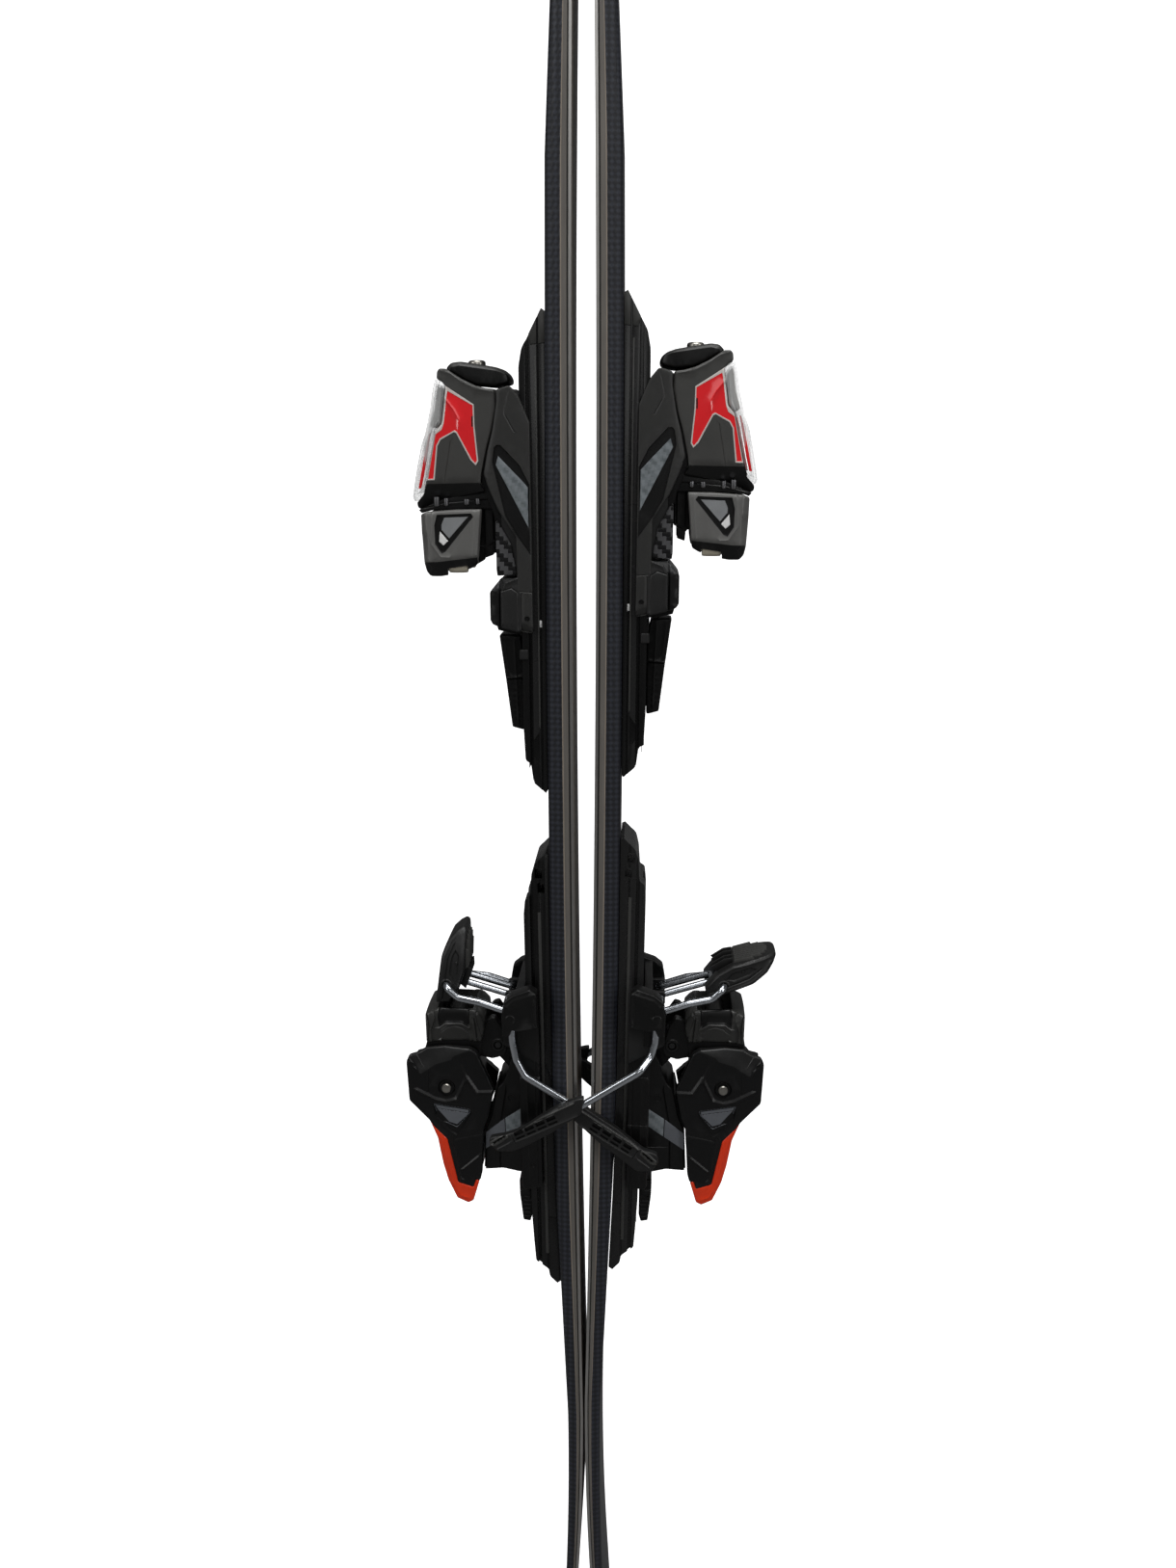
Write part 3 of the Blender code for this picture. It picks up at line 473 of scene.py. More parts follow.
def shifted(curve, distance, closed=True):
    """The curve moved to its left (inwards for a counter-clockwise loop)."""
    points = np.array(curve, float)
    if closed:
        before, after = points - np.roll(points, 1, 0), np.roll(points, -1, 0) - points
    else:
        spans = points[1:] - points[:-1]
        before, after = np.vstack([spans[:1], spans]), np.vstack([spans, spans[-1:]])
    before /= np.maximum(np.linalg.norm(before, axis=1, keepdims=True), 1e-9)
    after /= np.maximum(np.linalg.norm(after, axis=1, keepdims=True), 1e-9)
    left_before = np.stack([-before[:, 1], before[:, 0]], 1)
    left_after = np.stack([-after[:, 1], after[:, 0]], 1)
    fold = 1.0 + (left_before * left_after).sum(1)
    mitre = (left_before + left_after) / np.maximum(fold, 0.35)[:, None]
    return [tuple(p) for p in points + mitre * distance]


def away(points, curve, closed=True):
    """Distance from each point to a curve."""
    points = np.asarray(points, float)
    starts = np.asarray(curve, float)
    ends = np.roll(starts, -1, 0) if closed else starts[1:]
    best = np.full(len(points), 1e9)
    for start, end in zip(starts, ends):
        span = end - start
        t = np.clip(((points - start) @ span) / max(span @ span, 1e-12), 0, 1)
        best = np.minimum(best, np.linalg.norm(points - start - t[:, None] * span, axis=1))
    return best


def within(points, loop):
    points = np.asarray(points, float)
    inside = np.zeros(len(points), bool)
    for i, (x0, y0) in enumerate(loop):
        x1, y1 = loop[(i + 1) % len(loop)]
        if y0 == y1:
            continue
        crosses = (y0 > points[:, 1]) != (y1 > points[:, 1])
        inside ^= crosses & (points[:, 0] < (x1 - x0) * (points[:, 1] - y0) / (y1 - y0) + x0)
    return inside


def circle(u, z, radius, count):
    turns = [2 * math.pi * k / count for k in range(count)]
    return [(u + radius * math.cos(t), z + radius * math.sin(t)) for t in turns]


def rectangle(u0, z0, u1, z1):
    return [(u0, z0), (u1, z0), (u1, z1), (u0, z1)]


def mirrored(half):
    """Pairs followed by their mirror images in the second value, in reverse."""
    return half + [(a, -b) for a, b in reversed(half)]


# ----------------------------------------------------------------- relief shells
def pad(loop, depth, wall=0.35, mat=None, wallmat=None):
    """A raised (or, with a negative depth, sunken) field; its wall is that wide."""
    return dict(kind="pad", loop=ccw(loop), depth=depth, wall=wall, mat=mat, wallmat=wallmat)


def line(curve, depth, wall=0.35, mat=None):
    """A ridge or groove along a curve, falling off over the wall width on each side."""
    return dict(kind="line", curve=curve, depth=depth, wall=wall, mat=mat)


def slope(loop, crease, fall, mat=None, limit=99.0):
    """Inside loop the face falls away with the distance from a crease."""
    return dict(kind="slope", loop=ccw(loop), curve=crease, fall=fall, mat=mat, limit=limit)


class Solid:
    def __init__(self, points=(), faces=(), slots=None):
        self.points, self.faces = list(points), list(faces)
        self.slots = [0] * len(self.faces) if slots is None else slots

    def add(self, other, matrix=Matrix.Identity(4)):
        base = len(self.points)
        self.points += [tuple(matrix @ Vector(p)) for p in other.points]
        self.faces += [tuple(i + base for i in face) for face in other.faces]
        self.slots += other.slots
        return self


EDGE_RINGS = (0.08, 0.3, 0.62, 1.0)  # shares of the edge radius where points are laid
LAY_STEP = 2.5  # longest span along an outline or a feature


def plan_mesh(outline, edge, relief, grid):
    """Points, triangles and their middles, filling an outline and following its relief."""
    points, links, guards = [], [], []

    def lay(curve, closed, margin=0.0):
        dense = densify(curve, LAY_STEP, closed)
        base, count = len(points), len(dense)
        points.extend(dense)
        spans = count if closed else count - 1
        links.extend((base + i, base + (i + 1) % count) for i in range(spans))
        guards.append((curve, closed, max(0.3 * grid, margin)))
        return dense

    dense = lay(outline, True, edge)
    extra = []
    for share in EDGE_RINGS:
        ring = np.array(shifted(dense, share * edge))
        keep = (away(ring, outline) > 0.93 * share * edge) & within(ring, outline)
        extra += [tuple(p) for p in ring[keep]]
    for item in relief:
        if item["kind"] in ("pad", "slope"):
            lay(item["loop"], True)
        if item["kind"] == "pad":
            inside = shifted(item["loop"], item["wall"])
            if area(inside) > 0.2:
                lay(inside, True)
        else:
            lay(item["curve"], False)
        if item["kind"] == "line":
            lay(shifted(item["curve"], item["wall"], False), False)
            lay(shifted(item["curve"], -item["wall"], False), False)
    low, high = np.array(outline).min(0), np.array(outline).max(0)
    cells = [(u + (0.5 * grid if k % 2 else 0.0), z)
             for k, z in enumerate(np.arange(low[1] + grid / 2, high[1], grid * 0.87))
             for u in np.arange(low[0] + grid / 2, high[0], grid)]
    if cells:
        cells = np.array(cells)
        keep = within(cells, outline)
        for curve, closed, margin in guards:
            keep &= away(cells, curve, closed) > margin
        extra += [tuple(p) for p in cells[keep]]
    points += extra
    got = delaunay_2d_cdt([Vector(p) for p in points], links, [], 0, 1e-4, False)
    plan = np.array([(v.x, v.y) for v in got[0]])
    faces = np.array([face for face in got[2] if len(face) == 3])
    middles = plan[faces].mean(1)
    keep = within(middles, outline)
    side1, side2 = (plan[faces[:, k]] - plan[faces[:, 0]] for k in (1, 2))
    spin = side1[:, 0] * side2[:, 1] - side1[:, 1] * side2[:, 0]
    faces[spin < 0] = faces[spin < 0][:, ::-1]
    return plan, faces[keep], middles[keep]


def heights(level, plan):
    """A level, constant or a function of (u, z), at each point."""
    if callable(level):
        return np.array([level(u, z) for u, z in plan], float)
    return np.full(len(plan), float(level))


def emboss(height, slots, plan, middles, relief):
    """Heights of the points with the relief applied; paints the slots of the triangles."""
    for item in relief:
        if item["kind"] == "line":
            gap = away(plan, item["curve"], False)
            height = height + item["depth"] * np.clip(1 - gap / item["wall"], 0, 1)
            if item["mat"] is not None:
                slots[away(middles, item["curve"], False) < 0.66 * item["wall"]] = item["mat"]
            continue
        inside, gap = within(plan, item["loop"]), away(plan, item["loop"])
        painted = within(middles, item["loop"])
        if item["kind"] == "pad":
            rise = item["depth"] * np.clip(gap / item["wall"], 0, 1)
            height = height + np.where(inside, rise, 0)
            if item["wallmat"] is not None:
                slots[painted] = item["wallmat"]
                painted = painted & (away(middles, item["loop"]) > item["wall"] * 0.7)
        else:
            fall = np.minimum(item["fall"] * away(plan, item["curve"], False), item["limit"])
            height = height - np.where(inside | (gap < 1e-4), fall, 0)
        if item["mat"] is not None:
            slots[painted] = item["mat"]
    return height


def moulded(outline, high, low=None, edge=1.0, relief=(), grid=7.0, crown=0.0, across=1, mat=0,
            rim=None, inner=None):
    """A shell drawn in (u, z), its near face at y = -high with rounded edges and relief.

    With low None the far face mirrors the near one; otherwise it lies at y = -low. The rim has
    `across` strips and bulges by `crown`. mat, rim and inner are material slots."""
    outline = ccw(outline)
    plan, faces, middles = plan_mesh(outline, edge, relief, grid)
    inset = np.clip(edge - away(plan, outline), 0, edge)
    drop = edge - np.sqrt(np.maximum(edge * edge - inset * inset, 0))
    slots = np.full(len(faces), mat)
    near = emboss(heights(high, plan), slots, plan, middles, relief) - drop
    far = near if low is None else -np.minimum(heights(low, plan) + drop * 0.5, near - 0.3)

    solid = Solid()
    used = sorted(set(faces.ravel().tolist()))
    near_id = {i: k for k, i in enumerate(used)}
    far_id = {i: k + len(used) for k, i in enumerate(used)}
    solid.points = [(plan[i, 0], -near[i], plan[i, 1]) for i in used]
    solid.points += [(plan[i, 0], far[i], plan[i, 1]) for i in used]

    # the open edges, and outward normals at their points
    sides = [(a, b) for face in faces.tolist() for a, b in zip(face, face[1:] + face[:1])]
    count = Counter(frozenset(side) for side in sides)
    border = [side for side in sides if count[frozenset(side)] == 1]
    normals = {}
    for side in border:
        span = plan[side[1]] - plan[side[0]]
        normal = np.array([span[1], -span[0]]) / max(np.linalg.norm(span), 1e-9)
        for i in side:
            normals[i] = normals.get(i, 0) + normal
    chains = {}
    for i, normal in normals.items():
        normal = normal / max(np.linalg.norm(normal), 1e-9)
        chain = [near_id[i]]
        bulge = crown(*plan[i]) if callable(crown) else crown
        for k in range(1, across):
            t = k / across
            out = bulge * (1 - (2 * t - 1) ** 2)
            chain.append(len(solid.points))
            solid.points.append((plan[i, 0] + normal[0] * out,
                                 -near[i] + (far[i] + near[i]) * t,
                                 plan[i, 1] + normal[1] * out))
        chains[i] = chain + [far_id[i]]

    for face, slot in zip(faces.tolist(), slots.tolist()):
        solid.faces.append(tuple(near_id[i] for i in face))
        solid.faces.append(tuple(far_id[i] for i in reversed(face)))
        solid.slots += [slot, slot if inner is None else inner]
    rim = mat if rim is None else rim
    for a, b in border:
        start, end = chains[a], chains[b]
        slot = rim(*((plan[a] + plan[b]) / 2)) if callable(rim) else rim
        for k in range(len(start) - 1):
            solid.faces.append((end[k], start[k], start[k + 1], end[k + 1]))
            solid.slots.append(slot)
    return solid


# ------------------------------------------------------------ plainer solids
def joined(start, end):
    """Two matching loops with flat ends and straight sides between them."""
    n = len(start)
    faces = [tuple(range(n)), tuple(range(2 * n - 1, n - 1, -1))]
    faces += [(i, (i + 1) % n, (i + 1) % n + n, i + n) for i in range(n)]
    return Solid(start + end, faces)


def prism(outline, y0, y1):
    outline = ccw(outline)
    return joined([(u, y0, z) for u, z in outline], [(u, y1, z) for u, z in outline])


def block(u0, u1, y0, y1, z0, z1):
    return prism(rectangle(u0, z0, u1, z1), y0, y1)


def run_along(section, z0, z1):
    """A section in (u, y) drawn out along z."""
    return joined([(u, y, z0) for u, y in section], [(u, y, z1) for u, y in section])


def loft(sections, slots):
    """Matching rings of points joined in turn, with flat ends."""
    n, rows = len(sections[0]), len(sections)
    faces = [(i * n + k, i * n + (k + 1) % n, (i + 1) * n + (k + 1) % n, (i + 1) * n + k)
             for i in range(rows - 1) for k in range(n)]
    faces += [tuple(range(n)), tuple(range((rows - 1) * n, rows * n))[::-1]]
    return Solid([p for section in sections for p in section], faces,
                 slots * (rows - 1) + [slots[n // 2]] * 2)


def axes(axis):
    axis = Vector(axis).normalized()
    helper = Vector((0, 1, 0)) if abs(axis.y) < 0.9 else Vector((1, 0, 0))
    first = axis.cross(helper).normalized()
    return axis, first, axis.cross(first).normalized()


def turned(profile, base, axis, count=32, slots=None):
    """A (radius, height) profile turned about an axis; slots has one entry per band."""
    axis, first, second = axes(axis)
    base = Vector(base)
    solid = Solid()
    rings = []
    for radius, height in profile:
        start = len(solid.points)
        if radius == 0:
            solid.points.append(tuple(base + axis * height))
        else:
            for k in range(count):
                t = 2 * math.pi * k / count
                solid.points.append(tuple(base + axis * height + first * radius * math.cos(t)
                                          + second * radius * math.sin(t)))
        rings.append(range(start, len(solid.points)))
    for i, (a, b) in enumerate(zip(rings, rings[1:])):
        for k in range(count):
            n = (k + 1) % count
            if len(a) == 1:
                solid.faces.append((a[0], b[k], b[n]))
            elif len(b) == 1:
                solid.faces.append((a[k], a[n], b[0]))
            else:
                solid.faces.append((a[k], a[n], b[n], b[k]))
            solid.slots.append(slots[i] if slots else 0)
    return solid


def rod(radius, start, end, base, axis, count=28):
    return turned([(0, start), (radius, start), (radius, end), (0, end)], base, axis, count)


def dome(base, axis, radius, height, foot):
    """A domed head on a straight foot."""
    arc = [(radius * math.cos(t), height * math.sin(t))
           for t in (math.radians(degrees) for degrees in (0, 22, 45, 67))]
    return turned([(0, -foot), (radius, -foot), *arc, (0, height)], base, axis, 20)


def filleted(points, radius, steps=7):
    """A path through (u, y, z) points with arcs at its corners."""
    points = [Vector(p) for p in points]
    path = [points[0]]
    for before, corner, after in zip(points, points[1:], points[2:]):
        into, out = (before - corner), (after - corner)
        back, ahead = into.normalized(), out.normalized()
        angle = back.angle(ahead)
        if angle > math.radians(176):
            path.append(corner)
            continue
        reach = min(radius / math.tan(angle / 2), 0.45 * into.length, 0.45 * out.length)
        real = reach * math.tan(angle / 2)
        centre = corner + (back + ahead).normalized() * (real / math.sin(angle / 2))
        start, end = corner + back * reach - centre, corner + ahead * reach - centre
        turn = start.angle(end)
        for k in range(steps + 1):
            t = k / steps
            path.append(centre + (start * math.sin((1 - t) * turn)
                                  + end * math.sin(t * turn)) / math.sin(turn))
    path.append(points[-1])
    return path


def swept(path, radius):
    """A round wire with slightly broken ends."""
    count = 20
    _, first, _ = axes(path[1] - path[0])
    points, rings, last = [], 0, len(path) - 1
    for i, point in enumerate(path):
        along = (path[min(i + 1, last)] - path[max(i - 1, 0)]).normalized()
        first = (first - along * first.dot(along)).normalized()
        second = along.cross(first)
        stops = [(point, radius)]
        if i == 0:
            stops = [(point, radius * 0.8), (point + along * 0.5, radius)]
        if i == last:
            stops = [(point - along * 0.5, radius), (point, radius * 0.8)]
        for centre, size in stops:
            rings += 1
            for k in range(count):
                t = 2 * math.pi * k / count
                points.append(tuple(centre + size * (first * math.cos(t)
                                                     + second * math.sin(t))))
    faces = []
    for a in range(0, (rings - 1) * count, count):
        for k in range(count):
            n = (k + 1) % count
            faces.append((a + k, a + n, a + count + n, a + count + k))
    end = (rings - 1) * count
    faces += [tuple(range(count)), tuple(reversed(range(end, end + count)))]
    return Solid(points, faces)


# -------------------------------------------------------------- making objects
def soften(obj, smooth):
    obj.data.shade_smooth()
    obj.data.set_sharp_from_angle(angle=math.radians(smooth))


def make(name, solid, matrix, mats, smooth=32.0):
    """A mesh object; mats holds keys of MATERIALS, smooth is the sharp-edge angle in degrees."""
    mesh = bpy.data.meshes.new(name)
    mesh.from_pydata([tuple(matrix @ Vector(p)) for p in solid.points], [], solid.faces)
    for key in mats.split():
        mesh.materials.append(MATERIALS[key])
    mesh.polygons.foreach_set("material_index", solid.slots)
    bm = bmesh.new()
    bm.from_mesh(mesh)
    bmesh.ops.remove_doubles(bm, verts=bm.verts, dist=1e-7)
    bmesh.ops.dissolve_degenerate(bm, edges=bm.edges, dist=1e-8)
    bmesh.ops.recalc_face_normals(bm, faces=bm.faces)
    bm.to_mesh(mesh)
    bm.free()
    obj = bpy.data.objects.new(name, mesh)
    bpy.context.scene.collection.objects.link(obj)
    soften(obj, smooth)
    return obj


def apply_all(obj, smooth):
    bpy.context.view_layer.update()
    depsgraph = bpy.context.evaluated_depsgraph_get()
    mesh = bpy.data.meshes.new_from_object(obj.evaluated_get(depsgraph))
    obj.modifiers.clear()
    old = obj.data
    obj.data = mesh
    bpy.data.meshes.remove(old)
    soften(obj, smooth)


def carve(obj, solids, matrix, operation="DIFFERENCE", smooth=32.0, bevel=0.0):
    """Cuts solids out of a piece (or keeps their common part), then breaks the edges."""
    tools = []
    for i, solid in enumerate(solids):
        tool = make(f"{obj.name}.tool{i}", solid, matrix, "", smooth)
        cut = obj.modifiers.new("cut", "BOOLEAN")
        cut.operation, cut.solver, cut.object = operation, "EXACT", tool
        tools.append(tool)
    if bevel:
        broken = obj.modifiers.new("edge", "BEVEL")
        broken.width, broken.segments = bevel * MM, 2
        broken.limit_method, broken.angle_limit = "ANGLE", math.radians(35)
    apply_all(obj, smooth)
    for tool in tools:
        mesh = tool.data
        bpy.data.objects.remove(tool)
        bpy.data.meshes.remove(mesh)


@dataclasses.dataclass
class Assembly:
    """Makes the pieces that share a side, a design frame and a moving body; its material slot is not
    used.
    """
    side: str
    matrix: Matrix
    body: str
    slot: str

    def on(self, **changes):
        return dataclasses.replace(self, **changes)

    def both(self):
        return ("near", self), ("far", self.on(matrix=self.matrix @ MIRROR))

    def finish(self, obj, replaces=None):
        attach(obj, f"{self.side}_{self.body}")
        if replaces:
            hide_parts(f"{self.side}_{replaces}")

    def make(self, name, solid, mats, smooth=32.0):
        return make(f"{self.side}_{name}", solid, self.matrix, mats, smooth)

    def piece(self, name, solid, mats, replaces=None, cuts=(), bevel=0.0, smooth=32.0):
        obj = self.make(name, solid, mats, smooth)
        if cuts or bevel:
            carve(obj, cuts, self.matrix, smooth=smooth, bevel=bevel)
        self.finish(obj, replaces)


# -------------------------------------------------------------------- the skis
LENGTH = 1600
THICKNESS = (  # z, thickness
    (0, 8), (220, 12), (316, 14.8), (386, 17), (470, 18.2), (550, 18.5),
    (1000, 18.5), (1137, 18.3), (1300, 12.5), (1450, 8), (LENGTH, 5))
TAIL_CONTACT, TIP_CONTACT = 215, 1400  # where the base starts to turn up
CAMBER_TOP, CAMBER_REACH = 950, 760
WAIST, WAIST_Z = 74, 720
TAIL_ROUND, TIP_ROUND = 40, 1480  # where the ends start to round off
STUD_STEPS = 14  # points across the studded band
STUD_PITCH = 3.9  # of the stud rows along the ski


def camber(z):
    """u of the running base."""
    if z < TAIL_CONTACT:
        return 0.6 + 10.0 * ((TAIL_CONTACT - z) / TAIL_CONTACT) ** 2
    if z > TIP_CONTACT:
        return 5.5 + 54.5 * ((z - TIP_CONTACT) / (LENGTH - TIP_CONTACT)) ** 2.2
    return 8.5 * (1 - ((z - CAMBER_TOP) / CAMBER_REACH) ** 2)


def thickness(z):
    return float(np.interp(z, *zip(*THICKNESS)))


def half_width(z):
    if z > TIP_ROUND:
        return 62 * math.sqrt(max(0.0, 1 - ((z - TIP_ROUND) / 122.0) ** 2))
    if z > WAIST_Z:
        return (WAIST + 50 * ((z - WAIST_Z) / (TIP_ROUND - WAIST_Z)) ** 2) / 2
    if z > TAIL_ROUND:
        return (WAIST + 32 * ((WAIST_Z - z) / (WAIST_Z - TAIL_ROUND)) ** 2) / 2
    return 53 - 9.0 * ((TAIL_ROUND - z) / TAIL_ROUND) ** 2.5


def stud(share, z, wide):
    """Height of the cap's pressed pattern: rows of two studs and of one, in turn."""
    row = round(z / STUD_PITCH)
    near = past(1, abs(z - row * STUD_PITCH) / (0.62 * STUD_PITCH))
    places = (0.20, 0.58) if row % 2 == 0 else (0.39,)
    best = max(past(1, abs(share - place) * wide / 1.75) for place in places)
    return near * math.sin(best * math.pi / 2)


def core_half(z):
    """Half section in (u, y), from the base edge over the sidewall and cap to the topsheet."""
    base, thick, half = camber(z), thickness(z), half_width(z)
    inset = half - 2.6
    wall_foot = base + 2.5
    wall_top = base + max(0.42 * thick, 3.4)
    band_top, top = base + 0.86 * thick, base + thick
    wall = wall_top - wall_foot
    points = [
        (base + 1.6, inset), (wall_foot, inset), (wall_foot, half - 0.35),
        (wall_foot + 0.16 * wall, half - 0.35), (wall_foot + 0.17 * wall, half),
        (wall_top - 0.16 * wall, half), (wall_top - 0.15 * wall, half - 0.1),
        (wall_top - 0.02 * wall, half - 0.1), (wall_top, half)]
    wide = max(band_top - wall_top, 0.1)
    fade = min(1.0, past(wide, 3.0) / 3.0)
    for k in range(1, STUD_STEPS):
        share = k / STUD_STEPS
        rise = 0.46 * fade * stud(share, z, wide)
        points.append((wall_top + (band_top - wall_top) * share, half - 1.4 * share - 0.24 + rise))
    shoulder = half - min(5.0, 0.3 * half)
    return points + [
        (band_top, half - 1.4), (band_top + 0.45 * (top - band_top), half - 2.3),
        (band_top + 0.82 * (top - band_top), half - 3.4), (top, shoulder),
        (top, shoulder - 0.25 * half), (top, 0.3 * half)]


# slots along a half section: gap painted near black as a shadow, sidewall, inlay line, studded band,
# topsheet
CORE_SLOTS = [0, 0, 0, 1, 1, 2, 2, 2] + [3] * STUD_STEPS + [3, 3, 3, 4, 4]


def build_ski(ski):
    step = STUD_PITCH / 2
    stations = [k * step for k in range(int(LENGTH / step) + 1)] + [LENGTH]
    sections = [[(u, y, z) for u, y in mirrored(core_half(z))] for z in stations]
    slots = CORE_SLOTS + [4] + CORE_SLOTS[::-1] + [0]
    ski.on(slot="ski_cap").piece("ski_body", loft(sections, slots), "gap side line band top",
                                 "ski_core", smooth=40)

    base, edges = [], {"near": [], "far": []}
    for z in [3.0] + [8.0 + 7.0 * k for k in range(223)] + [1565.0]:
        low, half = camber(z), half_width(z)
        inset = half - 2.6
        base.append([(low, -inset, z), (low + 1.3, -inset, z), (low + 1.3, inset, z),
                     (low, inset, z), (low, 0, z)])
        section = [(low + 0.15, half), (low + 2.05, half), (low + 2.2, half - 0.15),
                   (low + 2.2, half - 2.3), (low, half - 2.3), (low, half - 0.2)]
        for where, sign in (("near", -1), ("far", 1)):
            edges[where].append([(u, sign * y, z) for u, y in section])
    ski.on(slot="ski_base_plastic").piece("running_base", loft(base, [0] * 5), "base",
                                          "ski_base", smooth=30)
    for where, rows in edges.items():
        ski.on(slot="edge_steel").piece(f"steel_edge_{where}", loft(rows, [0] * 6), "edge",
                                        f"edge_{where}", smooth=30)


# ------------------------------------------------------------------- the rails
SCREW_Y = (-20, 20)
TOE_SCREW_Z, TOE_SCREW_U = (766, 992), 43.4
HEEL_SCREW_Z, HEEL_SCREW_U = (374, 600), 42.4
SCREW_RADIUS = 4.5

TOE_RAIL = [(28.5, 1040), (42.5, 1013), (44.6, 1001), (44.6, 748), (43.5, 725), (40, 723),
            (38.2, 709), (29.2, 701)]
TOE_GROOVES = (
    [(26, 1016.2), (36.2, 1015.2), (37.2, 1018.6), (41, 1016.6), (44, 1013.6), (44, 1014.3),
     (41, 1017.5), (36.8, 1019.6), (35.8, 1016), (26, 1017)],
    [(33.6, 722.5), (40.6, 733.2), (40.6, 734.6), (33.2, 746), (33.2, 724)])
HEEL_RAIL = [(26.7, 656), (35.1, 648), (37.4, 640.5), (38.8, 624), (42.4, 622), (43.6, 611),
             (43.6, 576), (43.3, 377), (42.1, 354.6), (41, 338), (31.8, 331), (31, 325),
             (25.3, 319)]
HEEL_GROOVES = (
    [(20, 373.2), (31.2, 373.6), (31.4, 379.4), (32.2, 379.4), (32, 372.8), (20, 372.4)],
    [(36, 615), (38.6, 625), (44, 623.6), (44, 622.6), (39.2, 623.6), (36.8, 615)])
# thin ridges on the rail sides, drawn in the lighter cup grey: a painted highlight streak
HEEL_RIB = [(30.9, 28.9), (30.9, 29.9), (31.5, 30.2), (32.6, 30.2), (33.2, 29.9),
            (33.2, 28.9)]  # (u, y)


def rail_under(z0, z1, tilt, pivot):
    """The rail's underside, just clear of the ski."""
    stations = [z0 + (z1 - z0) * k / 12 for k in range(13)]
    return [(camber(z) + thickness(z) + 0.45 - tilt * (z - pivot[1]), z) for z in stations]


def rail_section(top):
    return mirrored([
        (12, 29.5), (30.6, 29.5), (30.9, 28.7), (31.7, 28.7), (32, 29.8), (top - 7.2, 29.8),
        (top - 6.9, 27), (top - 4.9, 27), (top - 4.6, 30), (top, 30), (top, 10.6),
        (top - 2.4, 10)])


def make_rail(rails, name, outline, section, cuts):
    rail = rails.make(name, prism(outline, -32, 32), "rail", smooth=30)
    carve(rail, [section], rails.matrix, "INTERSECT")
    carve(rail, cuts, rails.matrix, bevel=0.35)
    return rail


def screw_seats(head_u, stations):
    return [rod(5.2, head_u - 1.8, 50, (0, y, z), OUTWARD) for y in SCREW_Y for z in stations]


def side_grooves(grooves, inner_y):
    return [prism(groove, *sorted((sign * inner_y, sign * 33)))
            for sign in (-1, 1) for groove in grooves]


def add_screws(rails, end, u, stations, turn, turn_step):
    """Countersunk mounting screws with cross recesses, facing away from the ski."""
    radius = SCREW_RADIUS
    profile = [(0, u - 2.4), (radius, u - 2.4), (radius, u - 0.9), (radius * 0.82, u - 0.35),
               (radius * 0.5, u - 0.12), (0, u - 0.05)]
    blade = block(u - 1.5, u + 1, -radius * 0.62, radius * 0.62, -0.45, 0.45)
    for where, y in zip(("near", "far"), SCREW_Y):
        for k, z in enumerate(stations):
            turns = (turn + turn_step * k + cross * math.pi / 2 for cross in (0, 1))
            cuts = [Solid().add(blade, Matrix.Translation((0, y, z))
                                @ Matrix.Rotation(angle, 4, "X")) for angle in turns]
            rails.on(slot="zinc_screw").piece(
                f"{end}_screw_{where}_{k + 1}", turned(profile, (0, y, z), OUTWARD, 28), "screw",
                cuts=cuts, smooth=30)


def rack(u0, u1, z0, z1):
    """Toothed strip in the rail's channel that the locking tongue drops into."""
    pitch, root = 4.0, u1 - 1.3
    points = [(u0, z0), (u0, z1), (root, z1)]
    z = z1 - 1.0
    while z - pitch > z0 + 0.5:
        points += [(root, z), (u1, z - 0.5), (u1, z - pitch * 0.45),
                   (root, z - pitch * 0.45 - 0.5)]
        z -= pitch
    points += [(root, z0)]
    return prism(points, -9.4, 9.4)


def build_toe_rail(rails):
    outline = rail_under(703, 1038, TOE_TILT, TOE_PIVOT) + rounded(TOE_RAIL, 2, skip=(0, 7))
    cuts = screw_seats(TOE_SCREW_U, TOE_SCREW_Z) + side_grooves(TOE_GROOVES, 28.9)
    rail = make_rail(rails, "toe_rail_body", outline, run_along(rail_section(44.6), 690, 1050),
                     cuts)
    # the end cap above the groove is lighter
    rail.data.materials.append(MATERIALS["railcap"])
    to_design = rails.matrix.inverted()
    for face in rail.data.polygons:
        if (to_design @ face.center).z > 1016.4:
            face.material_index = len(rail.data.materials) - 1
    rails.finish(rail, "toe_rail")
    rails.piece("toe_rail_rack", rack(41.9, 43.7, 716, 812), "rail", bevel=0.15)
    # a lighter strip on the near side only, along the rail: a painted highlight streak
    highlight_strip = [(32.3, 1008), (33.4, 1008), (33.4, 750), (32.3, 748)]
    rails.on(slot="charcoal_plastic").piece("toe_rail_liner", prism(highlight_strip, -30.2, -28.9),
                                            "railcap", bevel=0.15)
    add_screws(rails, "toe", TOE_SCREW_U, TOE_SCREW_Z, turn=0.3, turn_step=0.5)
    rails.on(slot="roller_plastic").piece(
        "rail_mark", block(30.6, 32.2, -30.15, -28.5, 820.9, 825.7), "white", bevel=0.15)


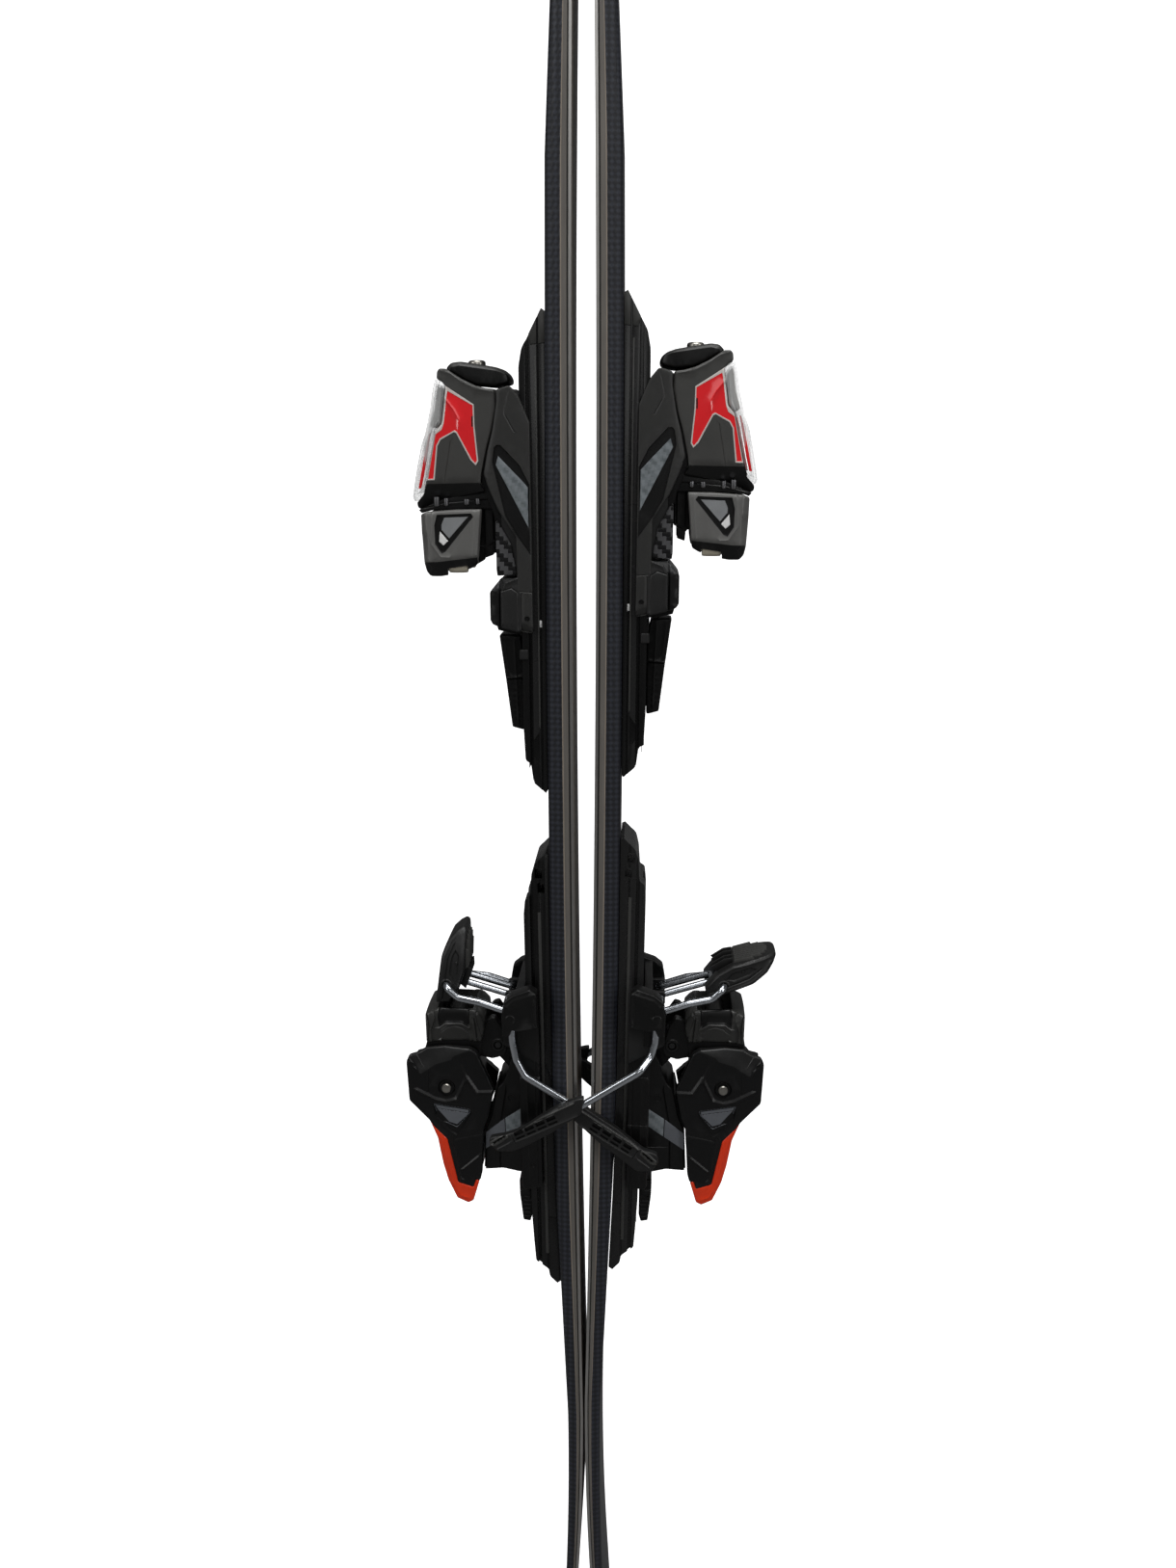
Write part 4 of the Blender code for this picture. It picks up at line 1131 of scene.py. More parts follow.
def build_heel_rail(rails):
    outline = rail_under(321, 655, HEEL_TILT, HEEL_PIVOT) + rounded(HEEL_RAIL, 1.6, skip=(0, 12))
    cuts = screw_seats(HEEL_SCREW_U, HEEL_SCREW_Z)
    cuts += [block(29.5, 34.8, -40, 40, 637.5, 645), block(28, 33, -40, 40, 626.5, 634)]
    cuts += side_grooves(HEEL_GROOVES, 29)
    rail = make_rail(rails, "heel_rail_body", outline, run_along(rail_section(43.6), 300, 670),
                     cuts)
    rails.finish(rail, "heel_rail")
    for where, sign in (("near", -1), ("far", 1)):
        section = [(u, sign * y) for u, y in HEEL_RIB][::sign]
        # lighter than the rail: a painted highlight streak
        rails.piece(f"heel_rail_rib_{where}", run_along(section, 344, 612), "cup")
    rails.piece("heel_rail_rack", rack(40.9, 42.7, 346, 396), "rail", bevel=0.15)
    add_screws(rails, "heel", HEEL_SCREW_U, HEEL_SCREW_Z, turn=0.6, turn_step=0.4)


# --------------------------------------------------- the toe: carriage and side arms
CARRIAGE_HALF = 30.2  # half width in y
TOE_CARRIAGE = [(45, 845.3), (46.9, 845.3), (46.9, 857.6), (57.5, 859), (58, 905), (58, 984),
                (52, 987.8), (45, 980)]
TOE_COLUMN = [(58.2, 861), (61, 860.4), (61.6, 863), (61.6, 893), (60.6, 896.6), (58.2, 896.4)]
COLUMN_SKIN = [(47.6, 858.4), (61.4, 857.4), (62, 862), (62, 895.6), (60.6, 896.2),
               (51.2, 879.2)]
ARM = [(36.5, 817.5), (41, 817.5), (47, 819.5), (47, 853), (47.5, 885), (59, 902), (65, 915.5),
       (69.6, 928), (66.6, 944), (63, 958), (60, 976), (60, 985.6), (50.5, 988.2), (44.5, 981),
       (37, 963)]
ARM_RECESS = [(61.8, 946.4), (60.2, 948), (57.3, 948), (44.2, 934), (37.6, 921), (37.6, 872.6),
              (47.5, 886.6), (54.8, 899), (63.3, 936.5)]
ARM_DECAL = [(59.2, 940.6), (61, 934.4), (38.6, 891), (38.6, 918.8), (44.8, 925.6)]
ARM_RELIEF = [
    pad(ARM_RECESS, -1.5, 0.5, 1, 1),
    pad(ARM_DECAL, 1, 0.35, 2),
    line([(51.8, 983.5), (54.2, 972.6), (54.3, 968.8), (47.8, 956.9)], -0.45, 0.7),
    line([(46.3, 881), (46.4, 846.5), (46.2, 820.5)], 0, 0.7),
    line([(37, 846), (46.8, 846.8)], -0.4, 0.5),
    slope([(36.6, 817.6), (47, 819.6), (47, 845.8), (42.5, 846), (42.5, 824), (36.6, 821.5)],
          [(36.6, 821.6), (42.5, 824.2), (42.6, 846.2)], 0.38, limit=2.4),
    pad(circle(40.5, 827.5, 1.9, 16), -0.8, 0.5, 1),
    slope([(68.4, 922.5), (70.1, 928.2), (66.9, 944.2), (63.3, 958.2), (60.2, 976.2), (60.2, 986),
           (57.5, 986.6), (57.6, 976), (60.2, 958), (63.6, 943), (65.4, 930)],
          [(57.5, 986.4), (57.6, 976), (60.2, 958), (63.6, 943), (65.5, 930), (64.6, 922)],
          0.30, limit=1.4)]
ARM_FOOT = [(44.6, 819.2), (47.4, 818.3), (58.4, 821), (59.2, 822.4), (59.2, 846.8),
            (55.8, 853.4), (47.6, 856.6), (44.6, 856.6)]
ARM_FOOT_RELIEF = [
    slope([(44, 846.6), (60, 846.6), (60, 858), (44, 858)], [(44, 846.6), (60, 846.6)], 0.10),
    line([(47.6, 855.6), (55.2, 852.6), (58.2, 846.4), (58.2, 823.2)], 0.45, 1),
    line([(46.6, 820), (46.6, 846), (51.4, 849.2), (58.8, 846.8)], -0.5, 0.7)]


def build_toe_carriage(toe):
    toe.piece("toe_carriage", prism(TOE_CARRIAGE, -CARRIAGE_HALF, CARRIAGE_HALF), "arm",
              "toe_base", bevel=0.5)
    toe.piece("toe_foot_plate", block(45, 46.85, -CARRIAGE_HALF, CARRIAGE_HALF, 817.6, 845),
              "arm", bevel=0.3)
    toe.piece("toe_column", moulded(rounded(TOE_COLUMN, 0.8), 20.4, edge=0.8, grid=5, crown=0.3,
                                    across=6), "carbon")
    for where, part in toe.both():
        part.piece(f"toe_column_skin_{where}",
                   moulded(rounded(COLUMN_SKIN, 0.8), 31, 30.25, edge=0.3, grid=5), "carbon")
        part.piece(f"toe_arm_{where}",
                   moulded(rounded(ARM, 1.8), 36.5, 30.4, edge=0.9, relief=ARM_RELIEF, grid=6),
                   "charcoal black silver screw")
        part.piece(f"toe_arm_foot_{where}",
                   moulded(rounded(ARM_FOOT, 0.7), 36.5, 34.35, edge=0.9, grid=5,
                           relief=ARM_FOOT_RELIEF), "arm")
        claw = rounded(rectangle(40.6, 798.3, 46.4, 805.2), 0.8)
        part.piece(f"toe_claw_{where}", moulded(claw, 32.4, 30.35, edge=0.5, grid=4), "arm")


# --------------------------------------------------------- the toe: housing
RELEASE_AXIS = (76, 0, 0)  # the release screw runs up along z from here
HOUSING = [(61.3, 986), (60.4, 976.2), (60.5, 972.6), (63.8, 957), (66.8, 947), (68.6, 939.6),
           (71, 928.5), (71.9, 922.2), (68.4, 916.2), (100, 909.4), (115.6, 903.2),
           (118.4, 905.4), (118.6, 908.6), (113, 914.6), (110, 925), (103.3, 957.8),
           (98.6, 963), (96.4, 979.6), (95.5, 988.3), (97.4, 991), (101.6, 993.4),
           (101.2, 998.2), (99.6, 1000.3), (95, 1000.2), (84, 993), (74.8, 988.5),
           (67.3, 986.6)]
RED_FIELD = [(93.7, 985), (76.3, 975), (76.1, 960.8), (74, 937.6), (75.2, 935.7), (77.8, 938.6),
             (87.7, 957.2), (89.6, 958.2), (100.1, 952.7), (102.7, 948), (105.3, 925.2),
             (109, 925.2), (103, 955.6), (98.6, 958.8), (97, 963), (94.9, 979), (94.2, 983.6)]
RED_BORDER = [(97.3, 990.9), (95, 988.2), (75.5, 975.6), (75.2, 960.6), (73, 937.2), (74.9, 934),
              (78.6, 937.8), (88.4, 956.2), (90, 956.9), (99.4, 951.8), (101.8, 947.6),
              (104.4, 924.2), (112.2, 923.9), (113.5, 930), (107, 960), (99.6, 966),
              (98.4, 986)]
HOUSING_RELIEF = [
    # below the crease at z 922 the shell is painted black: painted shade on the undercut lip, which
    # faces down
    slope([(66, 914), (72.3, 922.3), (111, 921.6), (119.5, 906), (118.5, 901), (100, 907)],
          [(70, 922.2), (111.4, 921.7)], 0, 1),
    pad(RED_BORDER, 0.30, 0.22, 3),
    pad(RED_FIELD, -0.20, 0.2, 2),
    line([(96.2, 980.4), (90.2, 972.8), (86.4, 965.6), (86.8, 960.4)], 0.55, 1.5),
    line([(92.7, 950.2), (97.5, 922.6)], -0.35, 0.35),
    pad([(77.3, 967.7), (76.2, 967.7), (76.4, 960.4), (77.4, 960.4)], -0.1, 0.1, 1),
    line([(99, 999), (92, 996.8), (84, 991), (75, 986.6), (62.5, 984.2)], 0.28, 0.8)]
WINDOW_OPENING = [(99.4, 989), (104.5, 991.2), (111, 957), (119.8, 918.6), (115, 918.6),
                  (105.6, 956.3)]
COLLAR = [(95.4, 1000.6), (91.6, 1004.3), (86, 1004.9), (67.6, 1002), (62, 1001), (56.4, 999.1),
          (53, 996.4), (51.6, 993.2), (52, 990.6), (61, 988.4), (73.5, 989.6), (80.9, 992.5)]
COLLAR_CREASE = [(54, 996.2), (60, 998.4), (68, 999.6), (86, 1002.2), (91, 1001)]
COLLAR_BROW = [(96.5, 1000.2), (92, 1005.5), (86, 1006), (62, 1002.5), (56, 1000.4), (52, 997.5)]
SEAM_WEB = [(57.6, 890), (62.6, 896), (64.6, 905), (68.5, 914), (71.4, 921), (71.4, 928),
            (68.4, 944), (64.6, 958), (61.8, 976), (62, 984.6), (57.6, 984.6)]
NECK = [(58.2, 917), (58.2, 897.4), (62.2, 896.9), (62.3, 880.6), (64.4, 880), (69.4, 877),
        (76.4, 878.4), (84, 884), (89.5, 893), (91.6, 904), (91.8, 912), (86, 916.5)]
NECK_RELIEF = [
    line([(64.5, 905), (64.3, 882)], -0.5, 0.6), line([(70.5, 912), (70.2, 879)], 0.4, 0.9),
    line([(80, 914), (79.6, 883)], -0.5, 0.6)]
HOUSING_FLOOR = [(62.2, 917.4), (62.2, 904.4), (90, 904.2), (104, 903.5), (110.6, 902.8),
                 (114.4, 901.3), (116.6, 903.6), (100, 910.6), (70, 917.4)]
NECK_HOOK = [(64.6, 881.6), (64.8, 871.6), (70.4, 869.6), (71, 876.4), (75.5, 880.4)]


def housing_flank(u, z):
    flank = 34.0 - 0.16 * past(u, 74) - 0.006 * past(z, 955) ** 1.3
    return flank - 0.55 * past(922.2, z)


def build_toe_housing(toe):
    shell = moulded(rounded(HOUSING, 1), housing_flank, edge=1.3, relief=HOUSING_RELIEF, grid=6,
                    across=10, crown=lambda u, z: 1.5 if u > 97 and 915 < z < 990 else 0.25)
    toe.piece("toe_housing_shell", shell, "shell black red rim", "toe_housing", cuts=[
        block(50, 96, -21, 21, 920, 984),
        rod(3.6, 975, 1020, RELEASE_AXIS, UP),
        prism([(92, 953), (130, 953), (130, 977), (92, 977)], -6, 6),
        prism(WINDOW_OPENING, -20.4, 20.4)])
    # the collar is black below its crease and charcoal on the brow above: the black is painted shade
    # on the recessed neck
    collar = moulded(rounded(COLLAR, 1.6, 4), lambda u, z: 27.5 - 0.012 * past(70, u) ** 2,
                     edge=1.4, relief=[slope(COLLAR_BROW + COLLAR_CREASE, COLLAR_CREASE, 0.85, 0)],
                     grid=5, across=12, crown=0.9, mat=1, rim=lambda u, z: 0 if z > 999 else 1)
    toe.piece("toe_collar", collar, "charcoal black",
              cuts=[rod(7, 985, 1020, RELEASE_AXIS, UP, 36)])

    # what closes the housing: the seam to the arms, the neck between the wings and the floor
    toe.piece("toe_seam_web", moulded(SEAM_WEB, 29.6, edge=0.4, grid=8), "black")
    toe.piece("toe_neck", moulded(rounded(NECK, 1.2), 20.6, edge=0.9, grid=6, across=4,
                                  relief=NECK_RELIEF), "black")
    groove = line([(66, 911), (98, 908.4), (112, 904.8)], -0.4, 0.6)
    toe.piece("toe_housing_floor", moulded(rounded(HOUSING_FLOOR, 0.5, 2), 26.2, edge=0.7,
                                           grid=7, across=6, relief=[groove]), "black")
    for where, part in toe.both():
        part.piece(f"toe_neck_hook_{where}",
                   moulded(rounded(NECK_HOOK, 0.8), 20, 14.6, edge=0.5, grid=4), "black")


WINDOW = [(97.9, 991), (96, 988.4), (96.9, 979.8), (99.1, 963.4), (103.7, 958.3),
          (110.4, 925.2), (113.5, 914.9), (119.2, 909.4), (120.6, 912.6), (119, 922.2),
          (116.2, 936.2), (113.5, 948.3), (110.6, 955.9), (109, 962.1), (106.3, 973.2),
          (104.6, 985.1), (102.6, 993)]
WINDOW_HOLLOW = [(99.2, 989), (98, 986.6), (98.8, 979.8), (100.8, 964.4), (105.3, 959.2),
                 (111.6, 927), (114.4, 917), (117.6, 914.6), (117, 922.2), (114.2, 936.2),
                 (111.6, 947.6), (108.8, 955), (107, 961.6), (104.5, 972.8), (102.9, 984.8),
                 (101.6, 990)]
WINDOW_RIB = [(99.6, 986.6), (98.9, 980), (101.2, 965), (105.6, 960), (107, 961.4), (103.6, 973),
              (102, 985), (101, 988.6)]
WINDOW_BAR = [(106.6, 956.5), (111.9, 928), (114.2, 918.6), (116.2, 918.4), (112.6, 936),
              (109.2, 951), (107.6, 956.2)]


def build_window(toe):
    """The clear cover away from the ski, and what shows through it."""
    groove = line([(100.5, 985), (101.5, 966), (106.5, 955), (113.5, 920)], -0.4, 0.6)
    glass = moulded(rounded(WINDOW, 0.8), lambda u, z: 31.4 - 0.25 * past(u, 100), edge=0.9,
                    grid=5, across=10, crown=0.5, relief=[groove])
    clear = toe.on(slot="clear_lens")
    clear.piece("toe_window", glass, "lens", "toe_lens", cuts=[prism(WINDOW_HOLLOW, -28.6, 28.6)])
    # light grey ribs seen through the cover: painted glints
    ribs = Solid()
    for y in range(-24, 25, 12):
        ribs.add(moulded(WINDOW_RIB, y + 1.3, y - 1.3, edge=0.3, grid=6))
    clear.piece("window_ribs", ribs, "glint")
    bars = Solid()
    for y in (-26.6, 26.6):
        bars.add(prism(WINDOW_BAR, y - 0.7, y + 0.7))
    toe.on(slot="indicator_plastic").piece("window_bars", bars, "red", bevel=0.2)


def build_release_screw(toe):
    screw = toe.on(body="toe_adjuster", slot="zinc_screw")
    head = [(0, 998.9), (6.2, 998.9), (6.2, 1005.2), (5.9, 1006), (5.2, 1006.6), (4, 1006.95),
            (0, 1007)]  # (radius, z)
    screw.piece("toe_screw_head", turned(head, RELEASE_AXIS, UP, 40), "screw", "toe_screw",
                cuts=[block(69, 83, -0.8, 0.8, 1005.2, 1010),
                      block(75.2, 76.8, -3.4, 3.4, 1005.2, 1010)])
    thread = [(3.0 if k % 2 else 2.55, 926 + k * 0.9) for k in range(60)]
    shank = [(0, 924), (2.6, 924), (3, 925), *thread, (2.9, 981), (2.9, 998.7), (0, 998.7)]
    screw.piece("toe_screw_shank", turned(shank, RELEASE_AXIS, UP, 20), "screw")


# ------------------------------------------------------- the toe: wings and rollers
ROLLER_BASE = (0, -26.5, 864.5)  # the roller's axis runs along u
WING = [(114.8, 900.4), (110.2, 902.2), (90, 903.6), (72, 903.8), (73.4, 888.4), (74.6, 871.8),
        (75.6, 865.6), (81.2, 862.4), (94.6, 862.4), (95.8, 858.4), (101.3, 857.5),
        (108.4, 857.6), (111.6, 860.8), (112.9, 866.5), (114.2, 884)]
WING_RELIEF = [
    pad([(104, 880.2), (99.6, 873.8), (96.9, 875), (77, 899), (78.6, 901.4), (102.4, 900.6),
         (104.4, 893)], -1, 0.9, None, 3),
    pad([(97.4, 898.5), (80.6, 899.1), (94.2, 884), (99.5, 890.2), (99.5, 893.6)], 0.42, 0.3, 1),
    pad([(100.7, 889.2), (95, 882.3), (98.3, 879.2), (101.4, 882)], 0.42, 0.3, 2),
    line([(110, 902), (109.2, 886), (108.6, 868.6)], 0.35, 0.8),
    line([(76, 902.6), (77.2, 880), (78.2, 869.8)], 0.3, 0.8),
    line([(105.4, 902.4), (106.8, 880.6), (100.4, 871.4), (94.4, 871)], 0.45, 1),
    slope([(74, 870.9), (103.2, 867.8), (111.6, 867.6), (113, 866), (112, 856), (94, 856),
           (74, 861)], [(74.2, 872), (103.2, 867.9), (111.4, 867.7)], 0, 3)]
ROLLER = [(0, 79.9), (1.5, 79.9), (1.5, 82.3), (4.1, 82.3), (4.6, 82.6), (4.85, 83.3), (5, 86),
          (5, 92), (4.85, 94.7), (4.6, 95.4), (4.1, 95.7), (1.5, 95.7), (1.5, 98.1),
          (0, 98.1)]  # (radius, u)
HINGE_RIVETS = ((103.6, 1.9), (96.9, 1.5), (82.4, 1.9), (74.5, 1.7))  # (u, radius)


def wing_face(u, z):
    """Half width of the wings: pulled in at both u ends, the roller lip and the hinge end."""
    y = 38.0 - 2.3 * past(u, 109.4 if z < 886 else 110.6) - 0.10 * past(76.5, u)
    lip = 868.3 + past(103, u) * 0.15
    return y - 0.78 * past(lip, z) - 0.25 * past(z, 901.5)


def build_wings(toe):
    for where, part in toe.both():
        shell = moulded(rounded(WING, 1.2), wing_face, lambda u, z: 22 + 5 * (903 - z) / 46,
                        edge=1.0, relief=WING_RELIEF, grid=5, across=5, crown=0.3,
                        rim=lambda u, z: 3 if z < 869 else 0, inner=3)
        part.on(body=f"wing_{where}", slot="wing_plastic").piece(
            f"toe_wing_shell_{where}", shell, "wing flake white black", f"toe_wing_{where}",
            cuts=[block(81.6, 96.4, -33, -12, 845, 871.4),
                  rod(1.9, 0, 19.4, (79.3, *ROLLER_BASE[1:]), OUTWARD, 20)])
        slots = [1, 1] + [0] * 9 + [1, 1]
        part.on(body=f"roller_{where}", slot="roller_plastic").piece(
            f"toe_roller_body_{where}", turned(ROLLER, ROLLER_BASE, OUTWARD, 36, slots),
            "cream screw", f"toe_roller_{where}")
        for k, (u, radius) in enumerate(HINGE_RIVETS):
            rivet = dome((u, -27.6, 907.6 + 0.04 * (88 - u)), (0, 0, -1), radius, height=1.2,
                         foot=3.0 + 0.16 * past(u, 88))
            part.on(slot="zinc_screw").piece(f"hinge_rivet_{where}_{k + 1}", rivet, "spring")


# ------------------------------------------------- the toe: boot rest and locking tongue
REST_BODY = [(47.3, 818.6), (60.6, 821.3), (60.6, 854.4), (59.2, 855.6), (56, 856.1),
             (47.3, 856.1)]
# ramps painted in the lighter ramp grey: a painted highlight on the upward sloping faces
REST_RAMP = slope([(47, 857), (47, 847.6), (60, 847.6), (66.4, 846.4), (66.6, 849), (60, 857)],
                  [(47, 847.6), (60, 847.6), (66.2, 846.6)], 0.22, 1)
SOLE_PAD = [(59.7, 821.1), (65.2, 823.6), (67, 826.4), (67, 846), (65.4, 848.2), (59.7, 855)]
SOLE_RAMP = slope([(59, 857), (59, 847.6), (66.4, 846.4), (66.6, 849), (60, 857)],
                  [(59, 847.6), (66.2, 846.6)], 0.22, 1)
LOCK_BRIDGE = [(44.3, 814.6), (52, 815), (63, 817.4), (64.2, 821.6), (59.4, 820.6), (47, 818.5),
               (46.8, 826), (44.3, 826)]
TOE_TONGUE = [(45, 745.2), (46.5, 744.9), (54, 747), (58, 781), (62.3, 813.6), (61, 814.2),
              (47.4, 813.3), (45, 800)]
TOE_TONGUE_RELIEF = [
    line([(45, 782.6), (58.4, 781.8)], -0.9, 0.5), line([(45, 783.8), (58.6, 783)], 0.3, 0.5),
    line([(51.6, 812), (50.6, 786), (49.4, 748)], 0.4, 1.2),
    line([(58.6, 811), (56, 788)], 0.3, 0.9),
    *(pad(circle(48.3, 751 + 4.2 * k, 0.55, 8), -0.5, 0.15) for k in range(7)),
    *(pad(circle(51.2, 753 + 4.2 * k, 0.55, 8), -0.5, 0.15) for k in range(6))]


def build_rest(toe):
    rest = toe.on(body="rest", slot="black_plastic")
    rest.piece("rest_key", block(46.9, 48.6, -20, 20, 820.4, 854.6), "black")
    rest.piece("rest_body", moulded(rounded(REST_BODY, 0.8, skip=(0, 5)), 27.8, edge=0.8,
                                    relief=[REST_RAMP], grid=6, across=8), "black ramp")
    # the upper rim takes the lighter ramp grey too: a painted highlight
    sole = moulded(rounded(SOLE_PAD, 0.9), lambda u, z: 34 - 0.9 * past(u, 64.6), edge=1.2,
                   grid=6, across=8, relief=[SOLE_RAMP],
                   rim=lambda u, z: 1 if z > 847.5 and u < 66 else (2 if u > 65 else 0))
    rest.piece("boot_rest", sole, "black ramp slide", "rest_pad")
    toe.piece("toe_lock_bridge", moulded(rounded(LOCK_BRIDGE, 0.5, 2), 13.6, edge=0.4, grid=5,
                                         across=3), "black")
    lock = toe.on(body="toe_lock", slot="black_plastic")
    lock.piece("toe_lock_spine", block(44.25, 46.4, -9, 9, 750, 812.6), "black", bevel=0.2)
    tongue = moulded(rounded(TOE_TONGUE, 0.9), lambda u, z: 14 - 0.02 * past(790, z), edge=0.9,
                     relief=TOE_TONGUE_RELIEF, grid=5, across=6, crown=0.2)
    lock.piece("toe_lock_lever", tongue, "black", "toe_lock_tongue")


# ----------------------------------------------------------- the heel: carriage
HEEL_HINGE = (66, 0, 508)
SPRING_AXIS = (62, 0, 0)  # the spring bore runs up along z from here
HEEL_PLATE = [(44.1, 397.4), (50, 398.4), (50, 512), (44.1, 512)]
TOWER = [(46.5, 409.4), (52.7, 409.8), (63.8, 412), (77.9, 410.7), (76.1, 444), (72.1, 454),
         (67.6, 475), (62.8, 480), (58.8, 489), (57.3, 496), (50.6, 507.8), (46.5, 507.8)]
TOWER_RELIEF = [
    line([(66.5, 412.5), (66, 444), (60.4, 474)], -0.6, 0.7),
    line([(49, 430), (62, 430)], -0.4, 0.5), pad(circle(56.5, 468.5, 2.6, 24), -0.5, 0.3)]
TOWER_WEB = [(64, 466), (68.4, 470.4), (69.8, 470), (73.3, 454), (77.1, 444), (78.9, 411.4),
             (72, 412.4), (68, 446)]
HEEL_LUG = [(47.3, 484), (56, 484), (72, 502.5), (73, 508), (72, 513), (66, 515.6), (59, 512.4),
            (52, 510.6), (47.3, 510.6)]
SPRING_PLUG = [(0, 412.9), (4, 412.9), (4.4, 412.3), (8.6, 412.3), (9.4, 413), (9.4, 414.2),
               (0, 414.2)]  # (radius, z)
SKIRT = [(34.2, 400.2), (47.5, 398.4), (49.4, 400.4), (49.4, 511.1), (34.2, 511.1)]
SKIRT_RELIEF = [
    line([(34, 487.6), (49.6, 487.6)], -0.4, 0.4), line([(37.4, 403), (37.4, 509)], -0.35, 0.5),
    line([(43.8, 404), (43.8, 484)], 0.3, 0.6), line([(34, 450), (49.6, 449.2)], -0.3, 0.4),
    pad(circle(40.6, 418, 1.9, 20), -0.5, 0.3)]
HEEL_DECALS = (
    ("upper", [(61.6, 452.2), (46.9, 462), (46.9, 448.6), (61.2, 438.4)], "silver"),
    ("lower", [(76.6, 440.4), (62.2, 451.8), (61.8, 438), (77, 427.4)], "slate"))


def tower_face(at_foot):
    """Half width of the tower, narrowing away from the ski."""
    return lambda u, z: at_foot - 0.1 * (u - 44)


def build_heel_carriage(heel):
    heel.piece("heel_plate", prism(HEEL_PLATE, -CARRIAGE_HALF, CARRIAGE_HALF), "black",
               "heel_carriage", cuts=[rod(9.7, 392, 452, SPRING_AXIS, UP, 32)], bevel=0.4)
    channels = [run_along(rectangle(50.4, y, 61.6, y + 12), 400, 470) for y in (-24, 12)]
    heel.piece("heel_tower", moulded(rounded(TOWER, 0.8, skip=(0, 11)), tower_face(30), edge=0.9,
                                     relief=TOWER_RELIEF, grid=7, across=6), "black",
               cuts=[rod(9.7, 380, 452, SPRING_AXIS, UP, 32)] + channels)
    heel.piece("heel_tower_web", moulded(TOWER_WEB, 23.8, edge=0.4, grid=7, across=4), "black")
    heel.piece("heel_lug", moulded(rounded(HEEL_LUG, 0.8), 13.5, edge=0.8, grid=6, across=4),
               "black")
    metal = heel.on(slot="zinc_screw")
    pin = mirrored([(0, -23.4), (2.2, -23.4), (3, -22.6)])
    metal.piece("heel_hinge_pin", turned(pin, HEEL_HINGE, ACROSS, 28), "slide")
    metal.piece("heel_spring_plug", turned(SPRING_PLUG, SPRING_AXIS, UP), "screw")
    for where, part in heel.both():
        part.piece(f"heel_skirt_{where}", moulded(rounded(SKIRT, 1), 36.3, 30.4, edge=0.9,
                                                  relief=SKIRT_RELIEF, grid=6), "black")
        for place, outline, mat in HEEL_DECALS:
            decal = moulded(outline, tower_face(30.4), tower_face(29.6), edge=0.15, grid=5)
            part.piece(f"heel_decal_{place}_{where}", decal, mat)


BRAKE_CHEEK = [(33.9, 500.3), (60, 515.2), (60.4, 539), (58.2, 550.8), (52.4, 555.3),
               (39.2, 559.7), (34.5, 556.3)]
CHEEK_RELIEF = [
    line([(37.2, 556), (51.6, 551.6), (56, 547.4)], 0.8, 1.4),
    line([(36.8, 533.6), (36.8, 553.2)], -0.35, 0.5), pad(circle(54, 537, 3.6, 24), 0.3, 0.4)]
WIRE_SLOT = [(46, 487), (72, 487), (72, 541.6), (50.2, 541.6), (46, 535)]
CHEEK_NOTCH = [(20, 480), (72, 480), (72, 524.8), (54.8, 524.6), (52.9, 529.3), (49.3, 528.4),
               (20, 533.3)]


def build_brake_housing(heel):
    housing = heel.on(slot="black_plastic")
    plate = rounded(rectangle(44.3, 513.4, 50.4, 555.6), 0.7)
    housing.piece("brake_plate", moulded(plate, 43, edge=0.5, grid=7, across=3), "black",
                  "brake_housing")
    for where, part in housing.both():
        cheek = moulded(rounded(BRAKE_CHEEK, 1.1), 51.5, 36.9, edge=1.3, relief=CHEEK_RELIEF,
                        grid=6, across=6, crown=0.2)
        part.piece(f"brake_cheek_{where}", cheek, "black screw", bevel=0.3, cuts=[
            prism(WIRE_SLOT, -49.3, -42.7),
            prism(rounded(CHEEK_NOTCH, 0.8), -60, -42.4),
            rod(3.15, 0, 9, (54, -43.4, 537), ACROSS)])
        lug = rounded(rectangle(49.6, 538.3, 60, 547.8), 1.8, 4)
        part.piece(f"brake_lug_{where}", moulded(lug, 18, 13.2, edge=0.5, grid=4), "black",
                   cuts=[rod(2.9, -20, -11, (56, 0, 543), ACROSS)])


# ---------------------------------------------------------------- the heel: cup
LEVER_PIVOT = (104.6, 0, 477.8)
CUP_BODY = [(76.8, 513.2), (79.7, 497), (79.7, 476), (83.2, 455.2), (90.2, 441.3), (100, 437.4),
            (109.8, 444.2), (118.8, 465.2), (123.6, 490), (121.2, 505), (118.6, 513.2)]
CUP_BODY_RELIEF = [line([(84, 498), (96, 470), (108, 470), (119, 498)], -0.6, 0.7),
                   line([(101, 440), (101, 470)], -0.5, 0.6)]
FORK = [(81, 500), (70, 497.5), (61, 500), (59, 505), (62.7, 522), (68, 530), (72, 529),
        (80, 520)]
CUP_TOP = [(77.5, 512.4), (119, 512.4), (119.2, 534.3), (115.4, 536.3), (107.5, 538),
           (89, 536.8), (81.6, 536.3), (75.5, 529.8), (74.8, 522)]
